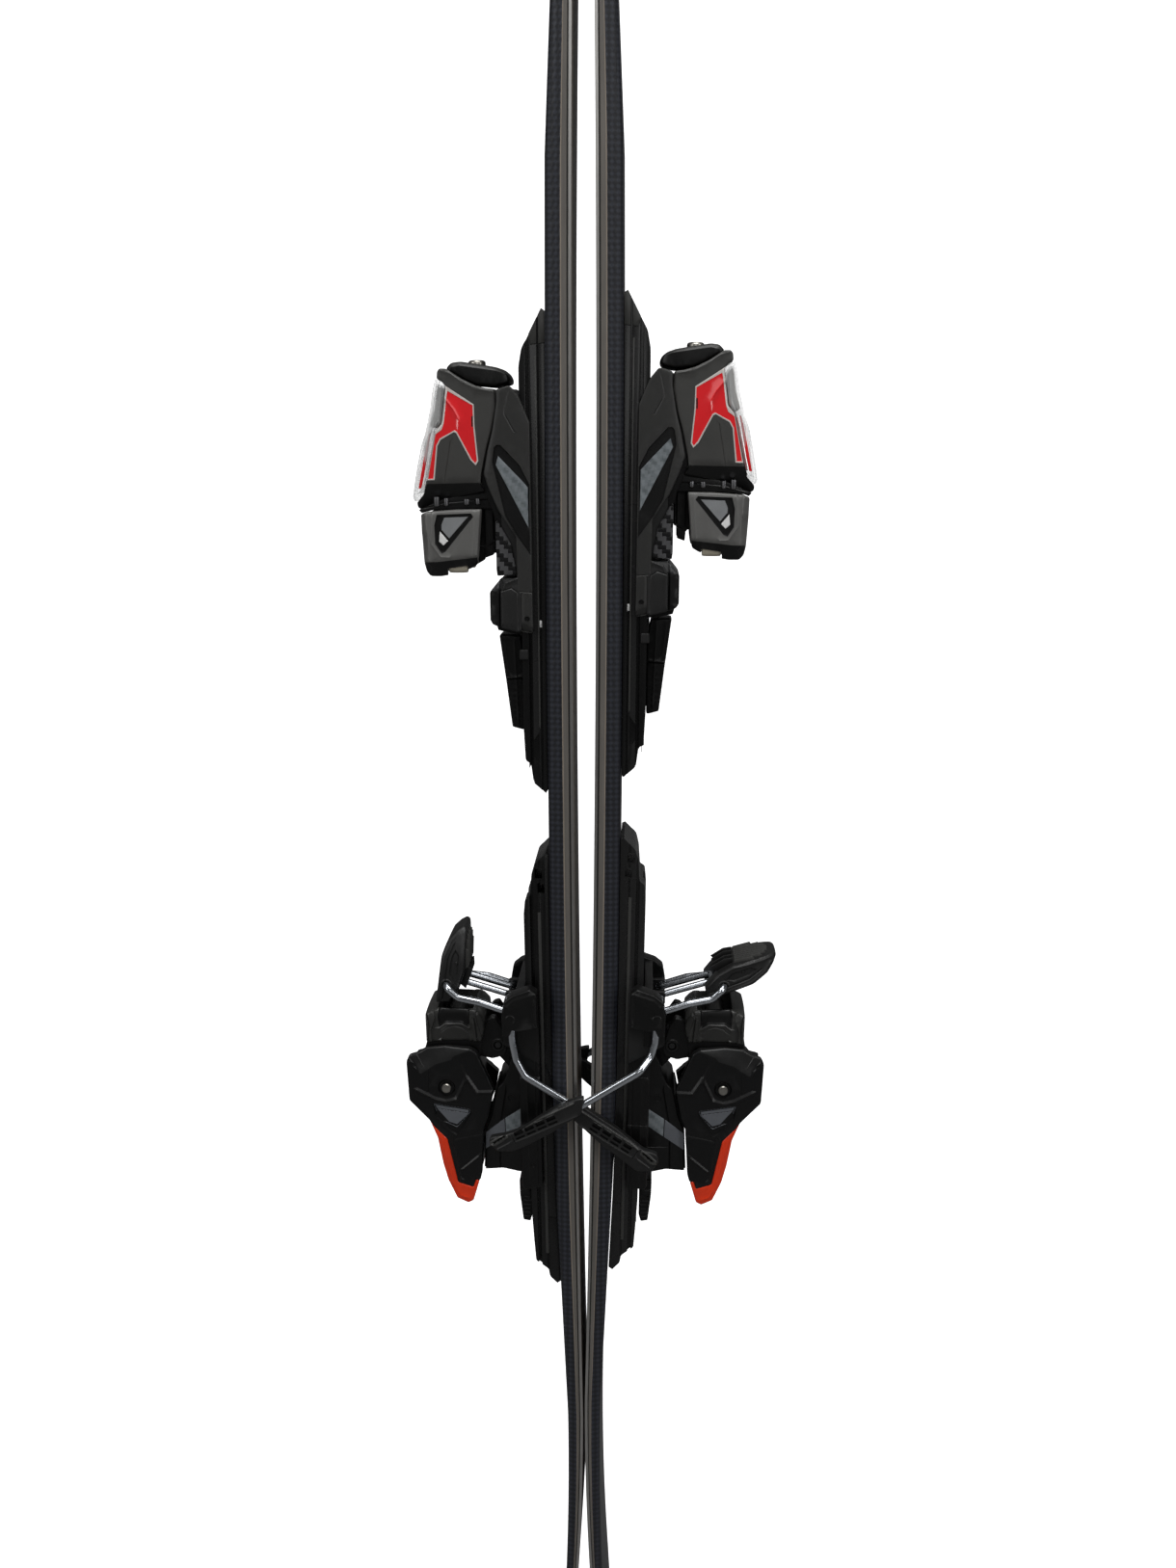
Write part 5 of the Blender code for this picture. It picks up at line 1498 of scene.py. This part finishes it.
CUP_TOP_RELIEF = [
    # raised corner away from the ski, then the one towards it
    pad([(121, 511), (121, 533.6), (116.4, 539), (112.4, 536.2), (111.2, 531), (114.6, 521.2),
         (113.6, 511)], 2, 0.9),
    line([(118, 533.4), (116.4, 524), (117.4, 513.4)], -1.3, 0.9),
    pad([(73.6, 519), (75.2, 532.4), (79.6, 536), (85.4, 530.4), (84.9, 520), (84, 511),
         (76.5, 511)], 1.5, 0.8),
    line([(82.6, 530.4), (81.4, 520.4), (80.8, 512.6)], -0.9, 0.7),
    # sunken field between them and the scoop below it
    pad([(86.6, 523.6), (92.3, 527), (104.9, 527), (109.4, 523.8), (110.2, 533.4),
         (108.6, 539.5), (86, 539.5)], -1.6, 1, 1),
    line([(86.6, 523), (92.3, 526.4), (104.9, 526.4), (109.2, 523)], 0.9, 1.2),
    line([(107.8, 519.6), (103.5, 523.4), (97.5, 524.6), (92, 523.2), (87.8, 519.6)], -0.5, 0.8),
    slope([(87.8, 519), (92, 522.8), (97.5, 524.2), (103.5, 523), (107.8, 519), (107.8, 511),
           (87.8, 511)],
          [(87.8, 519.4), (92, 523), (97.5, 524.4), (103.5, 523.2), (107.8, 519.4)],
          0.25, limit=1.6),
    line([(81.5, 534.5), (80, 525.9), (76.8, 515.3)], -0.4, 0.5),
    line([(84, 534), (82.6, 525), (81, 513.5)], 0.25, 0.7)]
CUP_BOSS = [(91.6, 521.2), (104.6, 521.2), (104.2, 530.6), (101, 533.6), (95, 533.4),
            (92, 530.4)]
LEVER_RIVET = mirrored([(0, -34.2), (2, -34.2), (3.6, -34), (4.15, -33.5), (4.3, -32.9),
                        (4.3, -32.4), (2.5, -32.4)])  # (radius, y)


def cup_flank(u, z):
    flank = 27.6 - 0.004 * past(u, 104) ** 2 - 0.02 * past(86, u) ** 1.5
    return flank - 0.012 * past(z, 526) ** 2


def lever_rivet():
    """The lever's pin; its two heads are drawn in towards the axis."""
    pin = turned(LEVER_RIVET, LEVER_PIVOT, ACROSS, 36)
    pivot_u, _, pivot_z = LEVER_PIVOT
    for i, (u, y, z) in enumerate(pin.points):
        share = 0.86 if abs(y) > 32.3 else 1
        pin.points[i] = (pivot_u + (u - pivot_u) * share, y, pivot_z + (z - pivot_z) * share)
    return pin


def build_heel_cup(heel):
    head = heel.on(body="heel_head")
    body = moulded(rounded(CUP_BODY, 1), 24, edge=1.0, grid=6, across=8, relief=CUP_BODY_RELIEF)
    head.piece("heel_cup_body", body, "black", "heel_cup",
               cuts=[rod(2.9, -30, 30, LEVER_PIVOT, ACROSS)])
    for where, part in head.both():
        prong = moulded(rounded(FORK, 1.2), 23.6, 15, edge=0.8, grid=5,
                        relief=[pad(circle(66, 508, 5.2, 30), 0.4, 0.4)])
        part.piece(f"heel_fork_{where}", prong, "black",
                   cuts=[rod(3.3, -26, -13, HEEL_HINGE, ACROSS)])
    top = moulded(rounded(CUP_TOP, 1.2, 4), cup_flank, edge=1.8, relief=CUP_TOP_RELIEF, grid=5,
                  across=12, crown=lambda u, z: 0.5 if u > 110 else (-1.0 if z > 534 else 0.0))
    head.piece("heel_cup_top", top, "cup black", cuts=[block(84, 110, -22.6, 22.6, 520, 560)],
               bevel=0.3)
    head.piece("heel_cup_boss",
               moulded(rounded(CUP_BOSS, 1.2), 21.5, edge=1.2, grid=4, across=6,
                       relief=[line([(98.2, 521), (98.2, 533)], -0.5, 0.6)]), "cup")
    floor = rounded(rectangle(84.4, 516, 109.6, 522), 0.6, 2)
    head.piece("heel_cup_floor", moulded(floor, 22.3, edge=0.5, grid=6, across=3), "slide")
    head.on(slot="zinc_screw").piece("lever_rivet", lever_rivet(), "screw", "lever_pin")


# -------------------------------------------------------- the heel: opening lever
LEVER = [(132, 502.5), (125, 504.5), (119, 508.3), (105, 509.4), (86, 508), (81.4, 505),
         (78, 497), (69.4, 476), (73.8, 454.5), (77.8, 444.7), (80.2, 409.3), (84.9, 392.5),
         (89.9, 385.2), (98, 388), (104.3, 399.5), (108.4, 417.3), (112.3, 438), (118.3, 451.7),
         (133.2, 467.4), (134.4, 497.5)]
GRIP_CUT = [(119.4, 451.6), (105.1, 437.4), (101.9, 421.6), (98.1, 402.6), (87.2, 398.6),
            (85.2, 404.6), (81, 404), (76, 398), (84, 380), (101, 380), (112, 400), (121, 446)]
SHOULDER_CREASE = [(123.6, 488.6), (112, 496.4), (100.8, 499.6), (98.3, 502.7), (87.8, 506.6)]
SHOULDER = [SHOULDER_CREASE[0], (128, 495.2), (134.6, 501), (134, 506), (118, 512), (84, 512),
            (86, 508.6)] + SHOULDER_CREASE[:0:-1]
LEVER_RELIEF = [
    # shoulder above the crease in the lighter top grey: a painted highlight on the up-facing top
    slope(SHOULDER, SHOULDER_CREASE, 0.30, 1, 2.6),
    line([(134, 501.6), (124.3, 489)], 0.45, 0.6), line([(127.2, 503.6), (122.7, 495.5)], 0.35, 0.5),
    # ribs that branch below the pivot
    line([(127.2, 476.4), (113, 468.9), (105.3, 467.2), (97.5, 468.9), (89.3, 486), (81.8, 474.2),
          (71, 474.4)], 1.2, 1.7),
    line([(89.3, 486), (93.5, 497.8)], 0.6, 1.2), line([(118, 492.4), (118.6, 474)], -0.35, 0.5),
    pad(circle(*LEVER_PIVOT[::2], 6.6, 36), -1.3, 1.1),
    # recess with the slate decal and its outline
    pad([(115.3, 465.8), (87.2, 461.1), (86.6, 457), (97.9, 439.9), (103, 443), (114, 455.8)],
        -1.2, 0.8),
    pad([(113.9, 464.3), (88.4, 459.8), (89.4, 456.3), (97.6, 448.6), (103.6, 450.6),
         (112.2, 461)], 0.95, 0.3, 2),
    line([(106.4, 450.6), (97.8, 446.4), (88, 457.6), (87.6, 460.6), (114.6, 465), (112.6, 459)],
         0.5, 0.45, 2),
    line([(112.3, 461.6), (90.1, 457.9)], -0.5, 0.35, 0),
    # ribs and a groove above the grip
    line([(101.2, 435.1), (99.8, 427.9), (96.4, 405.5)], 0.8, 1.2),
    line([(80.4, 424.7), (95.4, 412.3)], 0.7, 1.1), line([(79.4, 441), (98.6, 437.4)], -0.3, 0.5)]
FAR_CORNERS = (  # cut off the far cheek only
    [(117.4, 514), (118.6, 497), (127, 487), (140, 484), (140, 514)],
    [(60, 466), (71.5, 469.5), (80.5, 478), (84.5, 490), (84.5, 500.5), (78.6, 505), (60, 508)])
LEVER_BRIDGE = [(80.7, 412), (85.3, 399.5), (97.6, 403.4), (101.4, 421.8), (103.2, 428.6),
                (96, 428.9), (80.8, 423.8)]
GRIP = [(82.2, 403.4), (87.2, 387.4), (91.2, 385.4), (99.4, 389.4), (105.8, 404.1),
        (109.2, 417.6), (112.6, 438.2), (117.6, 450.6), (116.6, 450), (105.4, 437.2),
        (102.2, 421.5), (98.4, 402.2), (87, 398.2), (84.8, 404.2)]
GRIP_RIDGE = [(110, 438.6), (105.9, 419), (101.9, 401.2), (96.9, 391.6), (91.4, 389.6)]
GRIP_BAR = [(82.6, 402), (87.4, 387.6), (91.2, 385.6), (99.2, 389.6), (105.6, 404.1),
            (109, 417.6), (109.8, 423.6), (103.2, 426), (102.2, 421.5), (98.4, 402.2),
            (87, 398.2), (85.2, 403)]
GRIP_RIBS = ((107.6, 414), (106.3, 408.2), (104.6, 402.4), (101.9, 397), (98.9, 391.8))


def lever_face(u, z):
    return 32.0 - 0.045 * past(u, 112) - 0.028 * past(430, z) - 0.004 * past(z, 500) ** 2


def build_lever(heel):
    lever = heel.on(body="opening_lever", slot="lever_plastic")
    for where, part in lever.both():
        # the top rim above z 499 takes the lighter top grey: a painted highlight
        cheek = moulded(rounded(LEVER, 1.5, 4), lever_face, 24.6, edge=1.4, relief=LEVER_RELIEF,
                        grid=6, across=4, crown=0.2, rim=lambda u, z: 1 if z > 499 else 0)
        cuts = [prism(corner, -40, -20) for corner in FAR_CORNERS] if where == "far" else []
        cuts += [prism(GRIP_CUT, -40, -20), rod(2.9, -40, -20, LEVER_PIVOT, ACROSS)]
        part.piece(f"lever_cheek_{where}", cheek, "lever levertop slate",
                   "heel_lever" if where == "near" else None, cuts)
    lever.piece("lever_bridge", moulded(rounded(LEVER_BRIDGE, 1), 25.3, edge=0.8, grid=6,
                                        across=4), "lever")
    for where, part in lever.both():
        grip = moulded(rounded(GRIP, 1), lambda u, z: lever_face(u, z) + 0.15, 24.9, edge=0.8,
                       grid=4, relief=[line(GRIP_RIDGE, 0.35, 0.9)])
        part.piece(f"lever_grip_{where}", grip, "grip")
    bar = moulded(rounded(GRIP_BAR, 1), 25.2, edge=0.5, grid=4, across=24,
                  crown=lambda u, z: -0.9 if u > 100 or z < 396 else 0.0)
    lever.piece("lever_grip_bar", bar, "grip")
    ribs = Solid()
    for u, z in GRIP_RIBS:
        ribs.add(block(u - 2.4, u + 0.1, -21, 21, z - 0.6, z + 0.6))
    lever.piece("lever_grip_ribs", ribs, "grip", bevel=0.25)


def build_heel_lock(heel):
    """Locking tongue below the heel, towards the tail."""
    outline = [(44.3, 367.4), (46, 361.7), (51.4, 362.7), (53.6, 384), (53.7, 395.4),
               (44.3, 395.4)]
    relief = [line([(46, 366 + 3.2 * k), (51, 366.4 + 3.2 * k)], -0.45, 0.7) for k in range(6)]
    relief += [line([(44.2, 387.5), (53.8, 387.2)], 0.35, 0.6)]
    tongue = moulded(rounded(outline, 0.9), 12, edge=0.8, relief=relief, grid=5, across=6)
    heel.on(body="heel_lock", slot="black_plastic").piece("heel_lock_lever", tongue, "black",
                                                          "heel_lock_tongue")


# -------------------------------------------------------------------- the brake
@dataclasses.dataclass
class BrakeArm:
    """One stance of the brake arm; all points are (u, z)."""
    bend: tuple  # where the wire turns into the foot
    end: tuple  # end of the wire
    shoulder: tuple  # wire between bend and housing
    head: tuple  # the foot's details run from here ...
    foot: tuple  # ... to here
    openings: tuple  # shares of that way where the openings start
    outline: list


CLOSED_ARM = BrakeArm(
    bend=(44.5, 492), end=(-1, 462), shoulder=(50.8, 504.8), head=(6.6, 462.4),
    foot=(-47.6, 425.2), openings=(0.20, 0.34, 0.48, 0.62),
    outline=[(9.2, 472.7), (4.6, 471), (-22.6, 451.8), (-41.6, 435.1), (-52, 431.4),
             (-53.4, 425.6), (-47.9, 418.2), (-36.6, 418.2), (-11.7, 438.7), (4.3, 453.8),
             (13.8, 464)])
WIDE_ARM = BrakeArm(
    bend=(42.5, 498.8), end=(-16, 460.4), shoulder=(50.4, 507.2), head=(-2, 470.6),
    foot=(-62.4, 440.6), openings=(0.27, 0.40, 0.53, 0.66),
    outline=[(2.3, 478.3), (-3.3, 477.3), (-15.5, 471.8), (-30.6, 461.7), (-43.6, 452.2),
             (-55, 447.8), (-66.2, 445.4), (-67.2, 440.6), (-60.6, 434.9), (-49.4, 435.3),
             (-43.7, 437.5), (-22.9, 449.2), (-6.1, 461), (0.6, 465.8)])
WIRE_Y = 46  # of the wire inside the brake housing
BAIL = [(56, -17.4, 543), (56, -10, 543), (95, -10, 555.5), (95, 10, 555.5), (56, 10, 543),
        (56, 17.4, 543)]  # (u, y, z)


def build_brake_wires(heel, arm, arm_y):
    near = [(arm.end[0], -arm_y, arm.end[1]), (arm.bend[0], -arm_y, arm.bend[1]),
            (arm.shoulder[0], -WIRE_Y, arm.shoulder[1]), (53.2, -WIRE_Y, 518),
            (54, -WIRE_Y, 537), (54, -33.5, 537), (61.5, -33.5, 539), (77, -33, 544.5),
            (94, -30.5, 547.5), (103, -29.8, 556)]
    far = [(u, -y, z) for u, y, z in reversed(near)]
    wire = heel.on(slot="zinc_wire")
    wire.on(body="brake").piece("brake_wire_bow", swept(filleted(near + far, 9.0, 9), 2.75),
                                "zinc", "brake_wire", smooth=40)
    wire.on(body="bail").piece("bail_wire", swept(filleted(BAIL, 3.4), 2.5), "zinc",
                               "brake_bail", smooth=40)


def foot_relief(arm):
    """Details of a foot, placed by share along head to foot and offset towards +z."""
    span = Vector((arm.foot[0] - arm.head[0], arm.foot[1] - arm.head[1]))
    along = span.normalized()
    upward = Vector((-along.y, along.x))
    if upward.y < 0:
        upward = -upward

    def at(*places):
        return [tuple(Vector(arm.head) + span * share + upward * offset)
                for share, offset in places]

    # slot 2, lighter rib grey on the ridges and the spoon, is painted highlight; slot 1, black in
    # the openings and groove, is painted shade
    relief = [line(at((0.02, 4.6), (0.70, 4.2), (0.80, 3.2)), 0.8, 1.1, 2),
              line(at((0.05, -5.2), (0.60, -5.0), (0.78, -4.6)), 0.6, 1)]
    for start in arm.openings:
        end = start + 0.105
        relief += [
            pad(at((start, 2.2), (end, 2.2), (end, -0.6), (start, -0.6)), -2, 0.25, 1, 1),
            line(at((start + 0.005, 3), (start + 0.10, 3)), 0.6, 0.6, 2),
            pad(at((start, -2), (end, -2), (end, -3.6), (start, -3.6)), -1.2, 0.3, 1, 1)]
    spoon = at((0.83, 4.4), (0.90, 5), (1.04, 3.4), (1.07, 0.4), (1, -1.8), (0.84, 0.4))
    return relief + [
        pad(spoon, 0.7, 0.7, 2), line(at((0.87, 2.6), (1.01, 1.2)), -1.6, 1.1, 1),
        line(at((0.80, 4), (0.80, -4.4)), -0.5, 0.5), line(at((0.86, -3.6), (1, -4.2)), 0.5, 0.8)]


def build_brake_feet(heel, arm, arm_y):
    along = Vector((arm.end[0] - arm.bend[0], 0, arm.end[1] - arm.bend[1])).normalized()
    bore = rod(3.0, -2, math.dist(arm.bend, arm.end) + 0.4, (arm.bend[0], -arm_y, arm.bend[1]),
               tuple(along), 24)
    foot = moulded(rounded(arm.outline, 1.8), arm_y + 3.5, arm_y - 3.7, edge=1.1,
                   relief=foot_relief(arm), grid=5, across=4, crown=0.15)
    for where, part in heel.on(body="brake", slot="black_plastic").both():
        # lighter ribs are painted highlights, black openings painted shade
        part.piece(f"brake_foot_{where}", foot, "arm black railcap", f"brake_tip_{where}",
                   cuts=[bore])


# the treadle is drawn about its hinge
TREADLE_HINGE = (103, 0, 556)
TREADLE = [(8.4, -14), (3, 21.8), (-2.6, 33.6), (-8.6, 39.6), (-13.4, 42.6), (-15.4, 40.4),
           (-14.8, 28), (-13.8, 9), (-9.5, -3.4), (-1.4, -14.1)]
TREADLE_RELIEF = [
    line([(6.2, -11.4), (1, 20.6), (-4.4, 32), (-10, 37.6)], 0.5, 0.9),
    line([(3.2, -11), (-1.8, 19), (-6.6, 29.6)], -0.7, 0.8),
    line([(-1.4, -11.8), (-8.6, -1.8), (-12.4, 9.6), (-12.8, 28), (-13.4, 37)], 0.5, 0.8),
    pad([(-4.6, 2), (-8.8, 8), (-10.2, 22), (-7.6, 26.4), (-4.4, 20.4), (-2.2, 8)], -1.2, 0.8),
    pad(circle(0, 0, 4.4, 30), 0.4, 0.5), pad(circle(-8, 16, 1.2, 14), 0.8, 0.5)]
TREADLE_CLIP = [(-9.6, -3), (-13.9, 9.2), (-17.2, 10.4), (-17.4, 4), (-13.4, -6.4)]


def treadle_half(u, z):
    """Half width of the treadle, rounding off towards its upper end."""
    share = min(1.0, past(z, 8) / 36.5)
    return 7.0 + 18.5 * math.sqrt(1 - share * share) - 0.25 * past(-8, z)


def treadle_ribs():
    """Nine ribs, fanned out and longest in the middle."""
    ribs, low = Solid(), 10.0
    for k in range(9):
        y = -17.6 + 4.4 * k
        high = 16.0 + 22.0 * math.sqrt(past(1, (y / 20.0) ** 2))
        rib = prism([(-13.2, low), (-13.4, high), (-17, high - 1.6), (-16.4, low + 1.2)],
                    -0.6, 0.6)
        fan = (Matrix.Translation((0, y, 0)) @ Matrix.Translation((0, 0, low))
               @ Matrix.Rotation(-math.radians(1.3 * (k - 4)), 4, "X")
               @ Matrix.Translation((0, 0, -low)))
        ribs.add(rib, fan)
    return ribs


def build_treadle(heel, turn):
    hinge = heel.matrix @ Matrix.Translation(TREADLE_HINGE) @ Matrix.Rotation(turn, 4, "Y")
    treadle = heel.on(matrix=hinge, body="treadle", slot="black_plastic")
    plate = moulded(rounded(TREADLE, 1.4), treadle_half, edge=1.4, relief=TREADLE_RELIEF, grid=5,
                    across=14, crown=0.3)
    notch = Solid().add(block(-30, 3.6, -13, 13, -24, 6.2),
                        Matrix.Rotation(math.radians(-15.0), 4, "Y"))
    treadle.piece("treadle_plate", plate, "arm", "brake_pedal",
                  cuts=[notch, rod(3.1, -40, 40, (0, 0, 0), ACROSS)])
    # ribs in the lighter rib grey: painted highlights on the rib edges
    treadle.piece("treadle_ribs", treadle_ribs(), "railcap", bevel=0.2)
    clips = Solid()
    for y in (-10.0, 10.0):
        clips.add(prism(TREADLE_CLIP, y - 5.2, y - 3.4))
        clips.add(prism(TREADLE_CLIP, y + 3.4, y + 5.2))
    treadle.piece("treadle_clips", clips, "black", bevel=0.3)


# ------------------------------------------------------------------ everything
def sloped(tilt, pivot):
    there = Matrix.Translation((pivot[0], 0, pivot[1]))
    return there @ Matrix.Rotation(tilt, 4, "Y") @ there.inverted()


def build_side(side, sign, lift, heel_shift, arm_y, treadle_turn):
    to_ski = (Matrix.Scale(MM, 4) @ Matrix.Translation((X_MID, 0, lift))
              @ Matrix.Diagonal((sign, 1, 1, 1)))
    to_toe = to_ski @ sloped(TOE_TILT, TOE_PIVOT)
    to_rail = to_ski @ sloped(HEEL_TILT, HEEL_PIVOT)
    to_heel = to_rail @ Matrix.Translation((0, 0, heel_shift))
    ski = Assembly(side, to_ski, "ski", "black_plastic")
    build_ski(ski)
    build_toe_rail(ski.on(matrix=to_toe))
    build_heel_rail(ski.on(matrix=to_rail))

    toe = Assembly(side, to_toe, "toe_unit", "charcoal_plastic")
    for build in (build_toe_carriage, build_toe_housing, build_window, build_release_screw,
                  build_wings, build_rest):
        build(toe)

    heel = Assembly(side, to_heel, "heel_unit", "charcoal_plastic")
    for build in (build_heel_carriage, build_brake_housing, build_heel_cup, build_lever,
                  build_heel_lock):
        build(heel)

    arm = WIDE_ARM if arm_y > WIRE_Y else CLOSED_ARM
    build_brake_wires(heel, arm, arm_y)
    build_brake_feet(heel, arm, arm_y)
    build_treadle(heel, math.radians(treadle_turn))


for row in SIDES:
    build_side(*row)

# CAD pieces that stay in sight take these materials
KEPT = (("toe_spring", "spring"), ("heel_spring", "spring"), ("toe_indicator", "orange"))
for obj in bpy.context.scene.objects:
    if obj.type != "MESH":
        continue
    for ending, key in KEPT:
        if obj.name.endswith(ending):
            obj.data.materials.clear()
            obj.data.materials.append(MATERIALS[key])


# ------------------------------------------------------- studio and camera (metres)
def floor_material():
    """White to the camera, grey to the light that falls on it."""
    look = Shader("studio_floor")
    speck = look.noise(scale=14, detail=3, rough=0.5)
    seen = look.node("ShaderNodeLightPath").outputs["Is Camera Ray"]
    pale = look.mix(speck, (0.93, 0.93, 0.93), (0.97, 0.97, 0.97))
    return look.finish(
        Base_Color=look.mix(seen, (0.20, 0.20, 0.20), pale), Roughness=0.6,
        Emission_Strength=look.times(seen, 0.93), Emission_Color=(1.0, 1.0, 1.0))


def add_floor():
    """A floor that curves up into a wall behind the skis."""
    front, level, half_x, wall_top = -4.0, -0.0005, 5.0, 4.5
    curve_y, curve = 1.6, 0.9  # where the cove starts, and its radius
    arc = [math.radians(7.5 * k) for k in range(13)]
    profile = [(front, level)]
    profile += [(curve_y + curve * math.sin(a), level + curve * (1 - math.cos(a))) for a in arc]
    profile += [(curve_y + curve, wall_top)]
    mesh = bpy.data.meshes.new("studio_floor")
    mesh.from_pydata([(x, y, z) for y, z in profile for x in (-half_x, half_x)], [],
                     [(2 * k, 2 * k + 1, 2 * k + 3, 2 * k + 2) for k in range(len(profile) - 1)])
    mesh.shade_smooth()
    mesh.materials.append(floor_material())
    floor = bpy.data.objects.new("studio_floor", mesh)
    bpy.context.scene.collection.objects.link(floor)


def add_softbox(name, place, aim_z, size, power, tall=None):
    """An area light aimed at a height on the skis; tall makes it a rectangle."""
    light = bpy.data.lights.new(name, "AREA")
    light.energy, light.size = power, size
    if tall:
        light.shape, light.size_y = "RECTANGLE", tall
    obj = bpy.data.objects.new(name, light)
    obj.location = place
    aim = Vector((0, 0, aim_z)) - Vector(place)
    obj.rotation_euler = aim.to_track_quat("-Z", "Y").to_euler()
    bpy.context.scene.collection.objects.link(obj)


def add_world():
    """White to the camera, dim as a light."""
    world = bpy.data.worlds.new("studio")
    world.use_nodes = True
    nodes, links = world.node_tree.nodes, world.node_tree.links
    background = nodes["Background"]
    background.inputs["Color"].default_value = (1, 1, 1, 1)
    seen = nodes.new("ShaderNodeLightPath")
    level = nodes.new("ShaderNodeMapRange")
    level.inputs["To Min"].default_value = 0.10
    level.inputs["To Max"].default_value = 1.0
    links.new(seen.outputs["Is Camera Ray"], level.inputs["Value"])
    links.new(level.outputs["Result"], background.inputs["Strength"])
    bpy.context.scene.world = world


def add_camera():
    camera = bpy.data.cameras.new("camera")
    camera.lens, camera.sensor_width, camera.sensor_fit = 39.39, 36.0, "AUTO"
    camera.clip_start, camera.clip_end = 0.01, 50.0
    obj = bpy.data.objects.new("camera", camera)
    obj.location = (0.0616, -1.243, 0.944)
    obj.rotation_euler = (math.radians(79.0), 0.0, math.radians(2.1))
    bpy.context.scene.collection.objects.link(obj)
    bpy.context.scene.camera = obj


add_floor()
add_softbox("softbox_top", (0.1, -0.5, 2.9), aim_z=0.7, size=1.5, power=44)
add_softbox("softbox_left", (-2.0, -1.5, 1.7), aim_z=0.75, size=0.55, power=15, tall=1.8)
add_softbox("softbox_right", (2.0, -1.4, 1.6), aim_z=0.75, size=0.55, power=15, tall=1.8)
add_softbox("softbox_front", (0.3, -2.6, 1.9), aim_z=0.72, size=1.2, power=5.5, tall=1.0)
add_world()
add_camera()
bpy.context.scene.view_settings.view_transform = "Standard"
